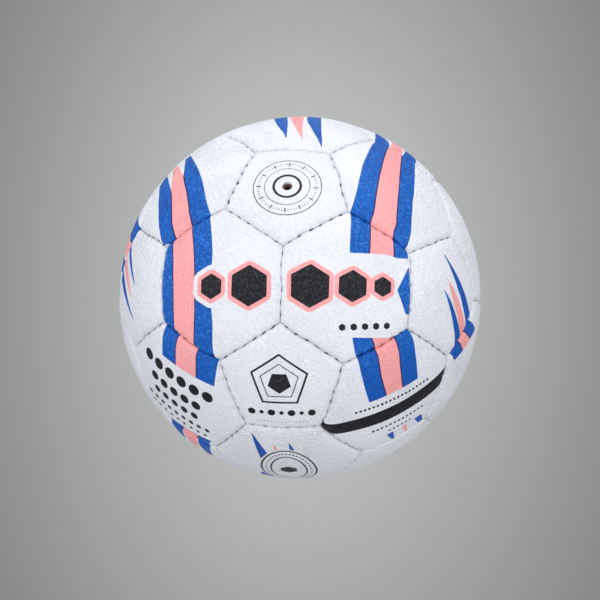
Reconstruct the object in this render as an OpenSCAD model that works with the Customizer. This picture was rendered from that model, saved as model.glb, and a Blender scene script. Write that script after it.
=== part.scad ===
// Hand-stitched handball of the smallest size, with thirty-two leather-like panels.
//
// The cover is a truncated icosahedron blown up to a sphere: twelve pentagons and
// twenty hexagons. Each panel is a shallow tray. Its crown is the outside of the
// ball, and its rim is turned inwards along every side, so that two neighbours meet
// flange to flange and are sewn together through a row of punched holes. A cloth
// backing of the same tray shape lies inside each panel. Inside the cover is a
// rubber bladder with a valve housing, and a plug-in core sits in the housing.
//
// The origin is the centre of the ball, and +Z runs out through the valve.
// The YZ plane is a mirror plane, and -Y is the front.

/* [Ball] */
// Diameter over the panel crowns
ball_d = 150; // [146:0.5:153]

/* [Cover] */
// Thickness of a panel's outer skin
skin_t = 1.2; // [0.9:0.05:1.3]
// Thickness of the cloth backing inside a panel
lining_t = 1.15; // [0.9:0.05:1.25]
// Glue line between two bonded layers
glue = 0.05; // [0.03:0.01:0.1]
// Radius of a panel's rounded shoulder beside a seam
shoulder_r = 2.4; // [2:0.1:2.6]
// Gap between the flanges of two neighbouring panels
seam_gap = 0.2; // [0.1:0.05:0.3]
// Depth of the turned-in flanges, from the crown
seam_depth = 4.4; // [4.2:0.1:4.8]

/* [Stitching] */
// Number of stitches along each seam
stitches = 6; // [4:1:7]
// Length of the row of stitches, measured on the crown
row_l = 24.2; // [22:0.1:24.4]
// Depth of the stitch row below the crown
stitch_depth = 3.2; // [3.1:0.05:3.3]
// Diameter of the waxed thread
thread_d = 0.8; // [0.6:0.05:0.8]
// Diameter of a punched stitch hole
stitch_hole_d = 0.9; // [0.85:0.05:1]

/* [Bladder] */
// Wall thickness of the bladder
bladder_t = 1.3; // [0.8:0.1:1.6]
// Air left between the flanges and the bladder
bladder_clear = 0.1; // [0.05:0.05:0.3]

/* [Valve] */
// Diameter of the hole in the valve panel
valve_hole_d = 4; // [3.9:0.05:4.4]
// Diameter of the needle channel in the core
needle_d = 2.04; // [1.9:0.02:2.1]
// Length of the needle channel, without its countersink
needle_l = 9; // [7:0.5:9]
// Diameter of the core's head
head_d = 3.8; // [3.7:0.05:3.8]
// Height of the core's head
head_h = 2.2; // [1.8:0.1:2.4]
// Diameter of the core's stem
stem_d = 3; // [2.9:0.05:3.1]
// Depth of the core's head below the crown
head_depth = 1.6; // [1.4:0.1:1.8]
// Length of the core
core_l = 14; // [13:0.5:15]
// Radial clearance of the core in its housing
core_clear = 0.05; // [0.03:0.01:0.08]
// Diameter of the housing's boss
boss_d = 9; // [8:0.5:11]
// Diameter of the housing's flange
flange_d = 26; // [22:1:30]
// Diameter of the reinforcing patch
patch_d = 28; // [24:1:30]
// Thickness of the reinforcing patch
patch_t = 0.75; // [0.5:0.05:0.8]

/* [Hidden] */

$fn = 96;

R = ball_d / 2;
g = seam_gap / 2;

// The solid's own proportions, for a circumscribed sphere of radius 1.
edge = 2 / sqrt(9 * (1 + sqrt(5)) / 2 + 10);
mid = sqrt(1 - edge * edge / 4);
// Angles from a panel's centre to the middle of its sides.
apo5 = asin(edge / 2 / tan(36) / mid);
apo6 = asin(edge * sqrt(3) / 2 / mid);
// Polar angles of the rings of panels, counted from the valve.
ring5 = atan(2);
ring6a = apo5 + apo6;
ring6b = ring6a + 2 * apo6;

// Radii and offsets of the nested layers.
skin_in = R - skin_t;
lining_out = skin_in - glue;
lining_in = lining_out - lining_t;
flange_end = R - seam_depth;
lining_g = g + skin_t + glue;
inner_g = lining_g + lining_t;
row_r = R - stitch_depth;
step = row_l / (stitches - 1) / R * 180 / PI;
shoulder_reach = 16;
thread_flat = thread_d / 4;
rail_x = inner_g + thread_flat + 0.03;
bladder_out = flange_end - bladder_clear;
bladder_in = bladder_out - bladder_t;

// Heights in the valve, counted from the centre of the ball.
head_top = R - head_depth;
head_low = head_top - head_h;
core_low = head_top - core_l;
sink_h = 0.4;
boss_top = lining_in - 0.3;

skin_colour = [0.94, 0.94, 0.95];
lining_colour = [0.82, 0.80, 0.74];
thread_colour = [0.42, 0.42, 0.44];
bladder_colour = [0.16, 0.16, 0.17];
valve_colour = [0.24, 0.17, 0.13];

// One entry a pentagon: polar angle, azimuth, and spin about its own axis.
PENTAGONS = concat(
    [[0, 0, 90]],
    [for (k = [0:4]) [ring5, -90 + 72 * k, 0]],
    [for (k = [0:4]) [180 - ring5, 90 + 72 * k, 180]],
    [[180, 0, -90]]
);

// One entry a hexagon, in four rings of five.
HEXAGONS = concat(
    [for (k = [0:4]) [ring6a, -54 + 72 * k, 0]],
    [for (k = [0:4]) [ring6b, -54 + 72 * k, 0]],
    [for (k = [0:4]) [180 - ring6b, -90 + 72 * k, 0]],
    [for (k = [0:4]) [180 - ring6a, -90 + 72 * k, 0]]
);

// The seams between two hexagons: a hexagon, and the azimuth of one of its sides.
HEX_SEAMS = concat(
    [for (k = [0:4]) [k, 0]],
    [for (k = [0:4]) [k, 120]],
    [for (k = [5:9]) [k, 60]],
    [for (k = [5:9]) [k, 300]],
    [for (k = [10:14]) [k, 0]],
    [for (k = [15:19]) [k, 60]]
);

// Puts a panel that was made about +Z at its place in the cover.
module place(p) rotate([0, p[0], p[1]]) rotate([0, 0, p[2]]) children();

// A seam's own frame: Z out through the middle of the side, X away from the panel, Y along the seam.
module seam_frame(apo, az) rotate([0, apo, az]) children();

// A ball whose poles and joint line stay clear of a panel about +Z.
module turned_ball(r) rotate([0, 90, 0]) sphere(r = r);

// The arc that rounds one shoulder off, turned about the seam's own axis. The bite is a
// little narrower than the radius, so the round meets the flange at a slight angle.
module shoulder_arc(r, gap, rho) {
    bite = 0.97 * rho;
    rotate([0, -90, 0]) rotate([0, 0, -shoulder_reach])
        rotate_extrude(angle = 2 * shoulder_reach) difference() {
            translate([r - rho, gap - 0.4]) square([rho + 1, bite + 0.4]);
            translate([r - rho, gap + bite]) circle(r = rho);
        }
}

// Everything on the far side of each of a panel's seams.
module beyond(sides, apo, r, gap)
    for (k = [0:sides - 1]) seam_frame(apo, 360 / sides * k)
        translate([-gap, -r - 1, -r - 1]) cube([r + 2, 2 * r + 2, 2 * r + 2]);

// A thick piece of the ball over one panel, with a rounded shoulder on each side.
module wedge(sides, apo, r, gap, rho, core_r) {
    difference() {
        difference() {
            turned_ball(r);
            turned_ball(core_r);
            beyond(sides, apo, r, gap);
        }
        if (rho > 0) for (k = [0:sides - 1]) seam_frame(apo, 360 / sides * k)
            shoulder_arc(r, gap, rho);
    }
}

// The row of holes through a panel's flange on one side.
module stitch_row(apo, az, l) {
    half = (stitches - 1) / 2;
    seam_frame(apo, az) for (k = [-half:half]) rotate([k * step, 0, 0])
        translate([g / 2, 0, row_r]) rotate([0, -90, 0]) cylinder(d = stitch_hole_d, h = l, $fn = 32);
}

// One layer of a panel: a tray between two nested wedges, with its stitch holes.
module tray(sides, apo, r_out, g_out, rho_out, r_in, g_in, rho_in, hole) {
    difference() {
        difference() {
            wedge(sides, apo, r_out, g_out, rho_out, flange_end);
            wedge(sides, apo, r_in, g_in, rho_in, flange_end - 1);
        }
        for (k = [0:sides - 1]) stitch_row(apo, 360 / sides * k, g_in + 0.6);
        if (hole) translate([0, 0, flange_end]) cylinder(d = valve_hole_d, h = seam_depth + 2);
    }
}

module skin(sides, hole = false)
    tray(sides, sides == 5 ? apo5 : apo6, R, g, shoulder_r,
         skin_in, g + skin_t, shoulder_r - skin_t, hole);

module lining(sides, hole = false)
    tray(sides, sides == 5 ? apo5 : apo6, lining_out, lining_g, shoulder_r - skin_t - glue,
         lining_in, inner_g, 0, hole);

module pentagon_skin(i) color(skin_colour) place(PENTAGONS[i]) skin(5, i == 0);
module hexagon_skin(i) color(skin_colour) place(HEXAGONS[i]) skin(6);

// The thread of one seam: a line of stitches along each side, pressed flat against the
// cloth, and a crossing in every hole.
module seam_thread() {
    half = (stitches - 1) / 2;
    reach = half * step + 0.28;
    for (s = [-1, 1]) rotate([0, -90, 0]) rotate([0, 0, -reach]) rotate_extrude(angle = 2 * reach)
        intersection() {
            translate([row_r, s * rail_x]) circle(d = thread_d, $fn = 32);
            translate([row_r - 1, s * rail_x - (s > 0 ? thread_flat : thread_d)])
                square([2, thread_d + thread_flat]);
        }
    for (k = [-half:half]) rotate([k * step, 0, 0]) translate([0, 0, row_r])
        rotate([0, 90, 0]) cylinder(d = 0.75 * thread_d, h = 2 * rail_x, center = true, $fn = 32);
}

// --- the cover's panels ---------------------------------------------------

// The panel with the inflation hole, and below it the other pentagons: a ring of five
// round the valve, a ring of five round the far end, and the one that the ball rests on.
module valve_panel() pentagon_skin(0);
module pentagon_panel_02() pentagon_skin(1);
module pentagon_panel_03() pentagon_skin(2);
module pentagon_panel_04() pentagon_skin(3);
module pentagon_panel_05() pentagon_skin(4);
module pentagon_panel_06() pentagon_skin(5);
module pentagon_panel_07() pentagon_skin(6);
module pentagon_panel_08() pentagon_skin(7);
module pentagon_panel_09() pentagon_skin(8);
module pentagon_panel_10() pentagon_skin(9);
module pentagon_panel_11() pentagon_skin(10);
module pentagon_panel_12() pentagon_skin(11);

// The hexagons, in four rings of five from the valve end to the far end.
module hexagon_panel_01() hexagon_skin(0);
module hexagon_panel_02() hexagon_skin(1);
module hexagon_panel_03() hexagon_skin(2);
module hexagon_panel_04() hexagon_skin(3);
module hexagon_panel_05() hexagon_skin(4);
module hexagon_panel_06() hexagon_skin(5);
module hexagon_panel_07() hexagon_skin(6);
module hexagon_panel_08() hexagon_skin(7);
module hexagon_panel_09() hexagon_skin(8);
module hexagon_panel_10() hexagon_skin(9);
module hexagon_panel_11() hexagon_skin(10);
module hexagon_panel_12() hexagon_skin(11);
module hexagon_panel_13() hexagon_skin(12);
module hexagon_panel_14() hexagon_skin(13);
module hexagon_panel_15() hexagon_skin(14);
module hexagon_panel_16() hexagon_skin(15);
module hexagon_panel_17() hexagon_skin(16);
module hexagon_panel_18() hexagon_skin(17);
module hexagon_panel_19() hexagon_skin(18);
module hexagon_panel_20() hexagon_skin(19);

// --- the cloth backings, one inside each panel -----------------------------

module pentagon_linings(first, last) color(lining_colour)
    for (i = [first:last]) place(PENTAGONS[i]) lining(5, i == 0);

module hexagon_linings(first, last) color(lining_colour)
    for (i = [first:last]) place(HEXAGONS[i]) lining(6);

module pentagon_linings_upper() pentagon_linings(0, 5);
module pentagon_linings_lower() pentagon_linings(6, 11);
module hexagon_linings_ring_1() hexagon_linings(0, 4);
module hexagon_linings_ring_2() hexagon_linings(5, 9);
module hexagon_linings_ring_3() hexagon_linings(10, 14);
module hexagon_linings_ring_4() hexagon_linings(15, 19);

// --- the waxed thread, one piece a seam -------------------------------------

module pentagon_seam_threads(first, last) color(thread_colour)
    for (i = [first:last]) for (k = [0:4]) place(PENTAGONS[i]) seam_frame(apo5, 72 * k) seam_thread();

module hexagon_seam_threads(first, last) color(thread_colour)
    for (i = [first:last]) place(HEXAGONS[HEX_SEAMS[i][0]])
        seam_frame(apo6, HEX_SEAMS[i][1]) seam_thread();

module pentagon_seam_threads_upper() pentagon_seam_threads(0, 5);
module pentagon_seam_threads_lower() pentagon_seam_threads(6, 11);
module hexagon_seam_threads_upper() hexagon_seam_threads(0, 14);
module hexagon_seam_threads_lower() hexagon_seam_threads(15, 29);

// --- the bladder and the valve ----------------------------------------------

// Hollow rubber ball with a hole for the housing's boss.
module bladder() color(bladder_colour) difference() {
    sphere(r = bladder_out);
    sphere(r = bladder_in);
    translate([0, 0, bladder_in - 4]) cylinder(d = boss_d + 2 * glue, h = 10);
}

// Cloth disc that ties the boss to the inside of the valve panel.
module valve_patch() color(lining_colour) difference() {
    intersection() {
        sphere(r = lining_in - glue);
        cylinder(d = patch_d, h = R);
    }
    sphere(r = lining_in - glue - patch_t);
    cylinder(d = boss_d + 2 * glue, h = R);
}

// Rubber housing: a flange under the bladder's wall, a boss up to the panel, and a neck
// that holds the core.
module valve_housing() color(valve_colour) difference() {
    union() {
        difference() {
            intersection() {
                sphere(r = bladder_in - glue);
                cylinder(d = flange_d, h = R);
            }
            sphere(r = bladder_in - glue - 1.3);
        }
        translate([0, 0, bladder_in - 3]) cylinder(d = boss_d, h = boss_top - bladder_in + 3);
        translate([0, 0, core_low + 0.6]) cylinder(d = stem_d + 3.8, h = bladder_in - 2 - core_low);
    }
    translate([0, 0, core_low - 1]) cylinder(d = stem_d + 2 * core_clear, h = core_l + 3);
    translate([0, 0, head_low - 0.02]) cylinder(d = head_d + 2 * core_clear, h = head_h + 2);
}

// Plug-in core: a head, a stem, a needle channel with a countersunk mouth, and a slit
// through the tip that air pressure holds closed.
module valve_core() color(valve_colour) difference() {
    union() {
        translate([0, 0, head_low]) cylinder(d = head_d, h = head_h);
        translate([0, 0, core_low + 1]) cylinder(d = stem_d, h = head_low - core_low);
        translate([0, 0, core_low]) cylinder(d1 = stem_d - 1, d2 = stem_d, h = 1);
    }
    translate([0, 0, head_top - sink_h - needle_l]) cylinder(d = needle_d, h = needle_l + 0.01);
    translate([0, 0, head_top - sink_h]) cylinder(d1 = needle_d, d2 = needle_d + 0.9, h = sink_h + 0.01);
    translate([-0.85, -0.06, core_low - 1])
        cube([1.7, 0.12, head_top - sink_h - needle_l - core_low + 1.3]);
}

valve_panel();
pentagon_panel_02();
pentagon_panel_03();
pentagon_panel_04();
pentagon_panel_05();
pentagon_panel_06();
pentagon_panel_07();
pentagon_panel_08();
pentagon_panel_09();
pentagon_panel_10();
pentagon_panel_11();
pentagon_panel_12();
hexagon_panel_01();
hexagon_panel_02();
hexagon_panel_03();
hexagon_panel_04();
hexagon_panel_05();
hexagon_panel_06();
hexagon_panel_07();
hexagon_panel_08();
hexagon_panel_09();
hexagon_panel_10();
hexagon_panel_11();
hexagon_panel_12();
hexagon_panel_13();
hexagon_panel_14();
hexagon_panel_15();
hexagon_panel_16();
hexagon_panel_17();
hexagon_panel_18();
hexagon_panel_19();
hexagon_panel_20();
pentagon_linings_upper();
pentagon_linings_lower();
hexagon_linings_ring_1();
hexagon_linings_ring_2();
hexagon_linings_ring_3();
hexagon_linings_ring_4();
pentagon_seam_threads_upper();
pentagon_seam_threads_lower();
hexagon_seam_threads_upper();
hexagon_seam_threads_lower();
bladder();
valve_patch();
valve_housing();
valve_core();
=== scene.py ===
import math

import bpy
import numpy as np
from mathutils import Matrix


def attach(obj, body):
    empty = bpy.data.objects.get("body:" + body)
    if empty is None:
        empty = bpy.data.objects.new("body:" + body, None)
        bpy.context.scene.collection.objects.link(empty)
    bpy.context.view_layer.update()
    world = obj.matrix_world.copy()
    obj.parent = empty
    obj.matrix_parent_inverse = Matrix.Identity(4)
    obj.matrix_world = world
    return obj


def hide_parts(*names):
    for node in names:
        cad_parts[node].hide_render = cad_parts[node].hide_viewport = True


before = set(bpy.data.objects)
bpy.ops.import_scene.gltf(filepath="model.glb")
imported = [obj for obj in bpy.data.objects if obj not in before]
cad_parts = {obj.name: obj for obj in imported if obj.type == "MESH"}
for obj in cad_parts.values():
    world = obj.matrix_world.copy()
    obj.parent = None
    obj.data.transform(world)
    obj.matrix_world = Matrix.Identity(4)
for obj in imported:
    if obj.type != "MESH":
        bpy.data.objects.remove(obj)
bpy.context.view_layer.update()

# Lengths below are in millimetres until a mesh is written, which is in metres.
R = 75.0
EDGE = 2 / math.sqrt(9 * (1 + math.sqrt(5)) / 2 + 10)
MID = math.sqrt(1 - EDGE * EDGE / 4)
APO5 = math.degrees(math.asin(EDGE / 2 / math.tan(math.radians(36)) / MID))
APO6 = math.degrees(math.asin(EDGE * math.sqrt(3) / 2 / MID))
RING5 = math.degrees(math.atan(2))
RING6A = APO5 + APO6
RING6B = RING6A + 2 * APO6

N = 80            # rows of the fine mesh from a panel's centre to its seams
M = 20            # rows of the coarse inside
SHOULDER_W = 2.3  # width of the rounded shoulder beside a seam
SHOULDER_H = 1.15  # its depth
STITCHES = 6
GAP = 0.02          # half the gap between two panels where they touch
SLIT = 0.30         # how far a stitch holds each panel back from the seam
STEP = math.degrees(24.2 / (STITCHES - 1) / R)

PENTAGONS = ([(0, 0, 90)] + [(RING5, -90 + 72 * k, 0) for k in range(5)]
             + [(180 - RING5, 90 + 72 * k, 180) for k in range(5)] + [(180, 0, -90)])
HEXAGONS = ([(RING6A, -54 + 72 * k, 0) for k in range(5)] + [(RING6B, -54 + 72 * k, 0) for k in range(5)]
            + [(180 - RING6B, -90 + 72 * k, 0) for k in range(5)] + [(180 - RING6A, -90 + 72 * k, 0) for k in range(5)])
NODE = {}
PLACE = {}
for i, p in enumerate(PENTAGONS):
    NODE["P%02d" % (i + 1)] = "valve_panel" if i == 0 else "pentagon_panel_%02d" % (i + 1)
    PLACE["P%02d" % (i + 1)] = p
for i, p in enumerate(HEXAGONS):
    NODE["H%02d" % (i + 1)] = "hexagon_panel_%02d" % (i + 1)
    PLACE["H%02d" % (i + 1)] = p


def rot_z(a):
    c, s = math.cos(math.radians(a)), math.sin(math.radians(a))
    return np.array([[c, -s, 0], [s, c, 0], [0, 0, 1.0]])


def rot_y(a):
    c, s = math.cos(math.radians(a)), math.sin(math.radians(a))
    return np.array([[c, 0, s], [0, 1.0, 0], [-s, 0, c]])


def turn(p):
    return rot_z(p[1]) @ rot_y(p[0]) @ rot_z(p[2])


def unit(v):
    return v / np.linalg.norm(v, axis=-1, keepdims=True)


def centre_of(name):
    p, a, _ = PLACE[name]
    p, a = math.radians(p), math.radians(a)
    return np.array([math.sin(p) * math.cos(a), math.sin(p) * math.sin(a), math.cos(p)])


# --- noise ---------------------------------------------------------------------

def lattice(ix, iy, iz, seed):
    """A number from 0 to 1 for each whole-numbered point."""
    h = (ix.astype(np.int64) * 374761393 + iy.astype(np.int64) * 668265263
         + iz.astype(np.int64) * 2147483647 + seed * 974634777) & 0xFFFFFFFF
    h = ((h ^ (h >> 13)) * 1274126177) & 0xFFFFFFFF
    h = ((h ^ (h >> 16)) * 2246822519) & 0xFFFFFFFF
    return ((h ^ (h >> 15)) & 0xFFFFFF) / float(0xFFFFFF)


def noise(p, seed=0):
    """Smooth value noise from -1 to 1 at the points p."""
    f = np.floor(p)
    t = p - f
    t = t * t * t * (t * (t * 6 - 15) + 10)
    i = f.astype(np.int64)
    total = 0
    for dx in (0, 1):
        for dy in (0, 1):
            for dz in (0, 1):
                w = ((t[:, 0] if dx else 1 - t[:, 0]) * (t[:, 1] if dy else 1 - t[:, 1])
                     * (t[:, 2] if dz else 1 - t[:, 2]))
                total = total + w * lattice(i[:, 0] + dx, i[:, 1] + dy, i[:, 2] + dz, seed)
    return total * 2 - 1


def fractal(p, octaves=3, seed=0):
    out, amp, total = 0, 1.0, 0
    for k in range(octaves):
        out = out + amp * noise(p * 2 ** k + 17.3 * k, seed + k)
        total += amp
        amp *= 0.5
    return out / total


# --- seams -----------------------------------------------------------------------

SEAMS = {}
# How far the stitches gape along the seams that the front shows; the others get a chance value.
GAPE = {("H01", "H05"): 0.4, ("H05", "P01"): 0.55, ("H04", "P01"): 1.35, ("H03", "P01"): 0.45, ("H02", "P01"): 0.75,
        ("H01", "P01"): 0.95, ("H05", "P02"): 0.8, ("H01", "P02"): 0.85, ("H10", "P02"): 0.6, ("H06", "P02"): 0.65,
        ("H11", "P02"): 0.95, ("H04", "H05"): 0.4, ("H01", "H02"): 0.7, ("H05", "P06"): 0.75, ("H04", "P06"): 0.8,
        ("H01", "P03"): 0.8, ("H02", "P03"): 0.6, ("H03", "H04"): 1.0, ("H02", "H03"): 0.8, ("H05", "H10"): 0.7,
        ("H01", "H06"): 0.8, ("H06", "P03"): 0.7, ("H10", "H11"): 0.8, ("H06", "H11"): 0.8, ("H10", "P06"): 0.7}

# The seams that are drawn tight, with a shallower valley.
VALLEY = {("H01", "H05"): 0.66, ("H05", "P01"): 0.85, ("H03", "P01"): 0.85, ("H02", "P01"): 0.9, ("H02", "H03"): 0.85,
          ("H02", "P03"): 0.85, ("H03", "H04"): 0.95}


def pair_of(middle):
    names = sorted(PLACE, key=lambda k: -float(centre_of(k) @ middle))[:2]
    return tuple(sorted(names))


def seam_of(middle, tangent):
    """The seam whose middle lies in that direction, and +1 or -1 for the way it runs."""
    for s in SEAMS.values():
        if np.dot(s["middle"], middle) > 0.9999:
            return s, 1.0 if np.dot(s["tangent"], tangent) > 0 else -1.0
    n = len(SEAMS)
    rng = np.random.RandomState(1000 + n)
    half = (STITCHES - 1) / 2
    s = {
        "middle": middle, "tangent": tangent, "n": n,
        "at": np.array([math.radians((k - half) * STEP) * R for k in range(STITCHES)]) + rng.normal(0, 0.16, STITCHES),
        "open": rng.uniform(0.6, 1.4, STITCHES) * GAPE.get(pair_of(middle), rng.uniform(0.5, 1.0)),
        "skew": rng.normal(0.3, 0.14, STITCHES),
        "wander": rng.normal(0, 1, 4) * 0.13,
        "tight": rng.uniform(0.75, 1.25),
        "valley": VALLEY.get(pair_of(middle), 1.0),
    }
    SEAMS[n] = s
    return s, 1.0


def wander(seam, s):
    """How far the seam strays sideways at s along it, in its own direction."""
    t = s / 30.3
    env = np.clip(1 - (2 * t) ** 2, 0, 1)
    w = seam["wander"]
    return env * (w[0] + w[1] * np.sin(2 * math.pi * t) + w[2] * np.sin(4 * math.pi * t + 1) + w[3] * np.sin(7 * math.pi * t + 2))


# --- prints: closed outlines in a panel's own chart, in millimetres -----------------
# A chart has x to the east and y to the north of the panel's centre.

def spline(points, steps=8):
    """A smooth open curve through the points (Catmull-Rom)."""
    p = np.array(points, float)
    if len(p) < 3:
        return p
    q = np.vstack([2 * p[0] - p[1], p, 2 * p[-1] - p[-2]])
    out = []
    t = np.linspace(0, 1, steps, endpoint=False)[:, None]
    for a, b, c, d in zip(q[:-3], q[1:-2], q[2:-1], q[3:]):
        out.append(0.5 * (2 * b + (c - a) * t + (2 * a - 5 * b + 4 * c - d) * t ** 2 + (3 * b - a - 3 * c + d) * t ** 3))
    return np.vstack(out + [p[-1:]])


def strip(a, b):
    """The outline between two smooth edges that run the same way."""
    return np.vstack([spline(a), spline(b)[::-1]])


def along_x(xs, ys):
    return list(zip(xs, ys))


def along_y(ys, xs):
    return list(zip(xs, ys))


def disc(x, y, r, n=40):
    a = np.linspace(0, 2 * math.pi, n, endpoint=False)
    return np.c_[x + r * np.cos(a), y + r * np.sin(a)]


def ngon(x, y, r, n, spin=0.0):
    a = np.radians(spin) + np.linspace(0, 2 * math.pi, n, endpoint=False)
    return np.c_[x + r * np.cos(a), y + r * np.sin(a)]


def sd_poly(p, poly):
    """Signed distance from the points to a closed outline, negative inside."""
    poly = np.asarray(poly, float)
    lo, hi = poly.min(0) - 9, poly.max(0) + 9
    out = np.full(len(p), 9.0)
    near = np.all((p > lo) & (p < hi), axis=1)
    if not near.any():
        return out
    q = p[near]
    a, b = poly, np.roll(poly, -1, axis=0)
    keep = np.linalg.norm(b - a, axis=1) > 1e-6
    a, b = a[keep], b[keep]
    ab = b - a
    best = np.full(len(q), 1e9)
    inside = np.zeros(len(q), bool)
    for i in range(len(a)):
        ap = q - a[i]
        t = np.clip((ap @ ab[i]) / (ab[i] @ ab[i]), 0, 1)
        d = ap - t[:, None] * ab[i]
        best = np.minimum(best, (d * d).sum(1))
        cross = (a[i, 1] > q[:, 1]) != (b[i, 1] > q[:, 1])
        if cross.any() and abs(ab[i, 1]) > 1e-12:
            xs = a[i, 0] + (q[:, 1] - a[i, 1]) * ab[i, 0] / ab[i, 1]
            inside ^= cross & (q[:, 0] < xs)
    out[near] = np.clip(np.where(inside, -1, 1) * np.sqrt(best), -9, 9)
    return out


def ring_line(p, x, y, rx, ry, width):
    """Signed distance to a drawn circle or oval."""
    q = (p - (x, y)) / (rx, ry)
    rho = np.sqrt((q * q).sum(1))
    slope = np.sqrt((((p - (x, y)) / (rx * rx, ry * ry)) ** 2).sum(1)) / np.maximum(rho, 1e-6)
    return np.abs(rho - 1) / np.maximum(slope, 1e-6) - width / 2


class Art:
    """What is printed on one panel: signed distances for each ink."""

    def __init__(self):
        self.items = []   # (ink, function of the points, chart)
        self.clear = []   # (function, chart): bare ground that interrupts the stripes

    def ink(self, colour, poly, grow=0.0, chart="own"):
        self.items.append((colour, lambda p, poly=poly, grow=grow: sd_poly(p, poly) - grow, chart))
        return self

    def line(self, colour, f, chart="own"):
        self.items.append((colour, f, chart))
        return self

    def bare(self, poly, grow=0.0, chart="own"):
        self.clear.append((lambda p, poly=poly, grow=grow: sd_poly(p, poly) - grow, chart))
        return self

    def bare_line(self, f, chart="own"):
        self.clear.append((f, chart))
        return self


ART = {name: Art() for name in PLACE}

# The three stripes of the upper left, from their tips down to the next panel's seam.
xs = [-24.4, -22, -18, -14, -10, -6, -2, 2, 6, 10, 14, 18, 22, 26, 30]
ART["H04"].ink("blue", strip(
    along_x(xs, [-19.8, -16.5, -10.7, -5.9, -1.3, 3.1, 6.9, 10.3, 13.1, 15.6, 18.0, 20.6, 22.5, 24.0, 25.2]),
    along_x(xs, [-20.0, -17.8, -14.7, -11.0, -7.8, -5.0, -2.75, 0.35, 3.5, 6.15, 8.45, 10.4, 12.55, 13.95, 15.2])))
xs = [-20.2, -18, -14, -10, -6, -2, 2, 6, 10, 14, 18, 22, 26, 30]
ART["H04"].ink("pink", strip(
    along_x(xs, [-24.6, -21.6, -16.8, -11.8, -7.2, -2.25, 0.85, 4.0, 6.65, 8.95, 10.9, 13.05, 14.45, 15.7]),
    along_x(xs, [-24.8, -23.4, -20.6, -16.4, -13.2, -10.2, -8.1, -6.0, -3.6, -1.65, 0.05, 1.65, 3.95, 5.6])))
xs = [-13.4, -12, -10, -6, -2, 2, 6, 10, 14, 18, 22, 26, 30]
ART["H04"].ink("blue", strip(
    along_x(xs, [-27.4, -25.0, -21.6, -17.0, -12.8, -9.0, -5.5, -3.1, -1.15, 0.55, 2.15, 4.45, 6.1]),
    along_x(xs, [-27.8, -27.6, -26.6, -24.2, -20.5, -17.3, -14.6, -12.2, -9.9, -8.0, -6.2, -4.2, -2.4])))

# The stripes of the upper right.
xs = [-30, -28, -24, -20, -16, -12, -8, -4, 0, 4, 8, 12, 16, 20, 24, 28, 31]
ART["H02"].ink("blue", strip(
    along_x(xs, [27.9, 27.6, 27.0, 26.6, 25.9, 24.2, 22.4, 20.7, 19.1, 17.2, 15.2, 12.7, 10.0, 7.2, 4.1, 0.6, -1.9]),
    along_x(xs, [19.2, 18.9, 18.3, 17.75, 16.15, 14.9, 13.65, 12.15, 10.5, 8.65, 6.5, 4.4, 1.85, -0.75, -3.75, -7.0, -9.6])))
ART["H02"].ink("pink", strip(
    along_x(xs, [19.5, 19.2, 18.6, 18.05, 16.5, 15.2, 13.95, 12.45, 10.8, 8.95, 6.8, 4.7, 2.15, -0.45, -3.45, -6.7, -9.3]),
    along_x(xs, [8.1, 7.9, 7.75, 6.15, 5.4, 4.45, 3.3, 2.0, 0.55, -1.0, -2.8, -4.85, -7.05, -9.35, -12.15, -14.95, -17.2])))
ART["H02"].ink("blue", strip(
    along_x(xs, [8.5, 8.3, 8.1, 6.5, 5.75, 4.75, 3.6, 2.3, 0.85, -0.7, -2.5, -4.55, -6.75, -9.05, -11.85, -14.65, -16.9]),
    along_x(xs, [2.4, 1.5, 0.1, -0.8, -1.5, -2.6, -3.7, -5.3, -6.8, -8.6, -10.4, -12.3, -14.6, -17.2, -19.8, -21.8, -23.4])))

# The left stripes beside the row of figures.
ys = [22, 18, 14, 10, 6, 2, -2, -6, -10, -14, -18, -22, -26, -29]
ART["H05"].ink("blue", strip(
    along_y(ys, [-48, -44, -40.5, -37.4, -34.9, -33.2, -31.9, -29.9, -27.3, -24.6, -22.0, -19.5, -16.4, -14.2]),
    along_y(ys, [-44, -40.6, -37.0, -33.6, -30.1, -26.85, -23.05, -20.0, -17.2, -14.7, -12.5, -10.4, -8.6, -7.3])))
ART["H05"].ink("pink", strip(
    along_y(ys, [-44.3, -40.9, -37.3, -33.9, -30.4, -27.15, -23.35, -20.3, -17.5, -15.0, -12.8, -10.7, -8.9, -7.6]),
    along_y(ys, [-35, -30.4, -24.35, -19.5, -15.4, -12.05, -9.05, -6.5, -4.2, -2.0, -0.3, 1.35, 2.75, 3.8])))
ART["H05"].ink("blue", strip(
    along_y(ys, [-35.3, -30.7, -24.65, -19.8, -15.7, -12.35, -9.35, -6.8, -4.5, -2.3, -0.6, 1.05, 2.45, 3.5]),
    along_y(ys, [-20.5, -15.6, -11.4, -7.9, -5.2, -2.8, -0.4, 2.0, 4.4, 6.9, 8.8, 10.5, 12.6, 14.3])))

# The right stripes, which the row of figures hides for a stretch.
ys = [29, 26, 23, 20, 17, 14, 11, 8, 4, 0, -4, -8, -12, -16, -19, -22, -25, -29]
e0 = [18.8, 16.3, 14.3, 12.1, 10.0, 7.8, 6.1, 4.3, 1.9, -0.3, -2.4, -4.2, -5.8, -7.3, -8.1, -8.8, -9.3, -9.4]
e1 = [33, 29.7, 26.6, 23.2, 20.3, 17.9, 15.8, 13.6, 10.8, 8.2, 5.8, 3.7, 1.9, 0.3, -0.5, -0.9, -1.0, -1.3]
e2 = [47, 43.5, 39.8, 36.0, 33.6, 31.9, 29.4, 26.6, 24.0, 21.3, 18.8, 16.5, 14.4, 12.5, 11.1, 9.9, 9.0, 8.6]
e3 = [58, 54, 50.5, 47, 44.2, 41.6, 38.7, 35.5, 31.9, 29.2, 27.2, 25.4, 23.4, 21.4, 20.3, 18.9, 17.2, 15.6]
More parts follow.
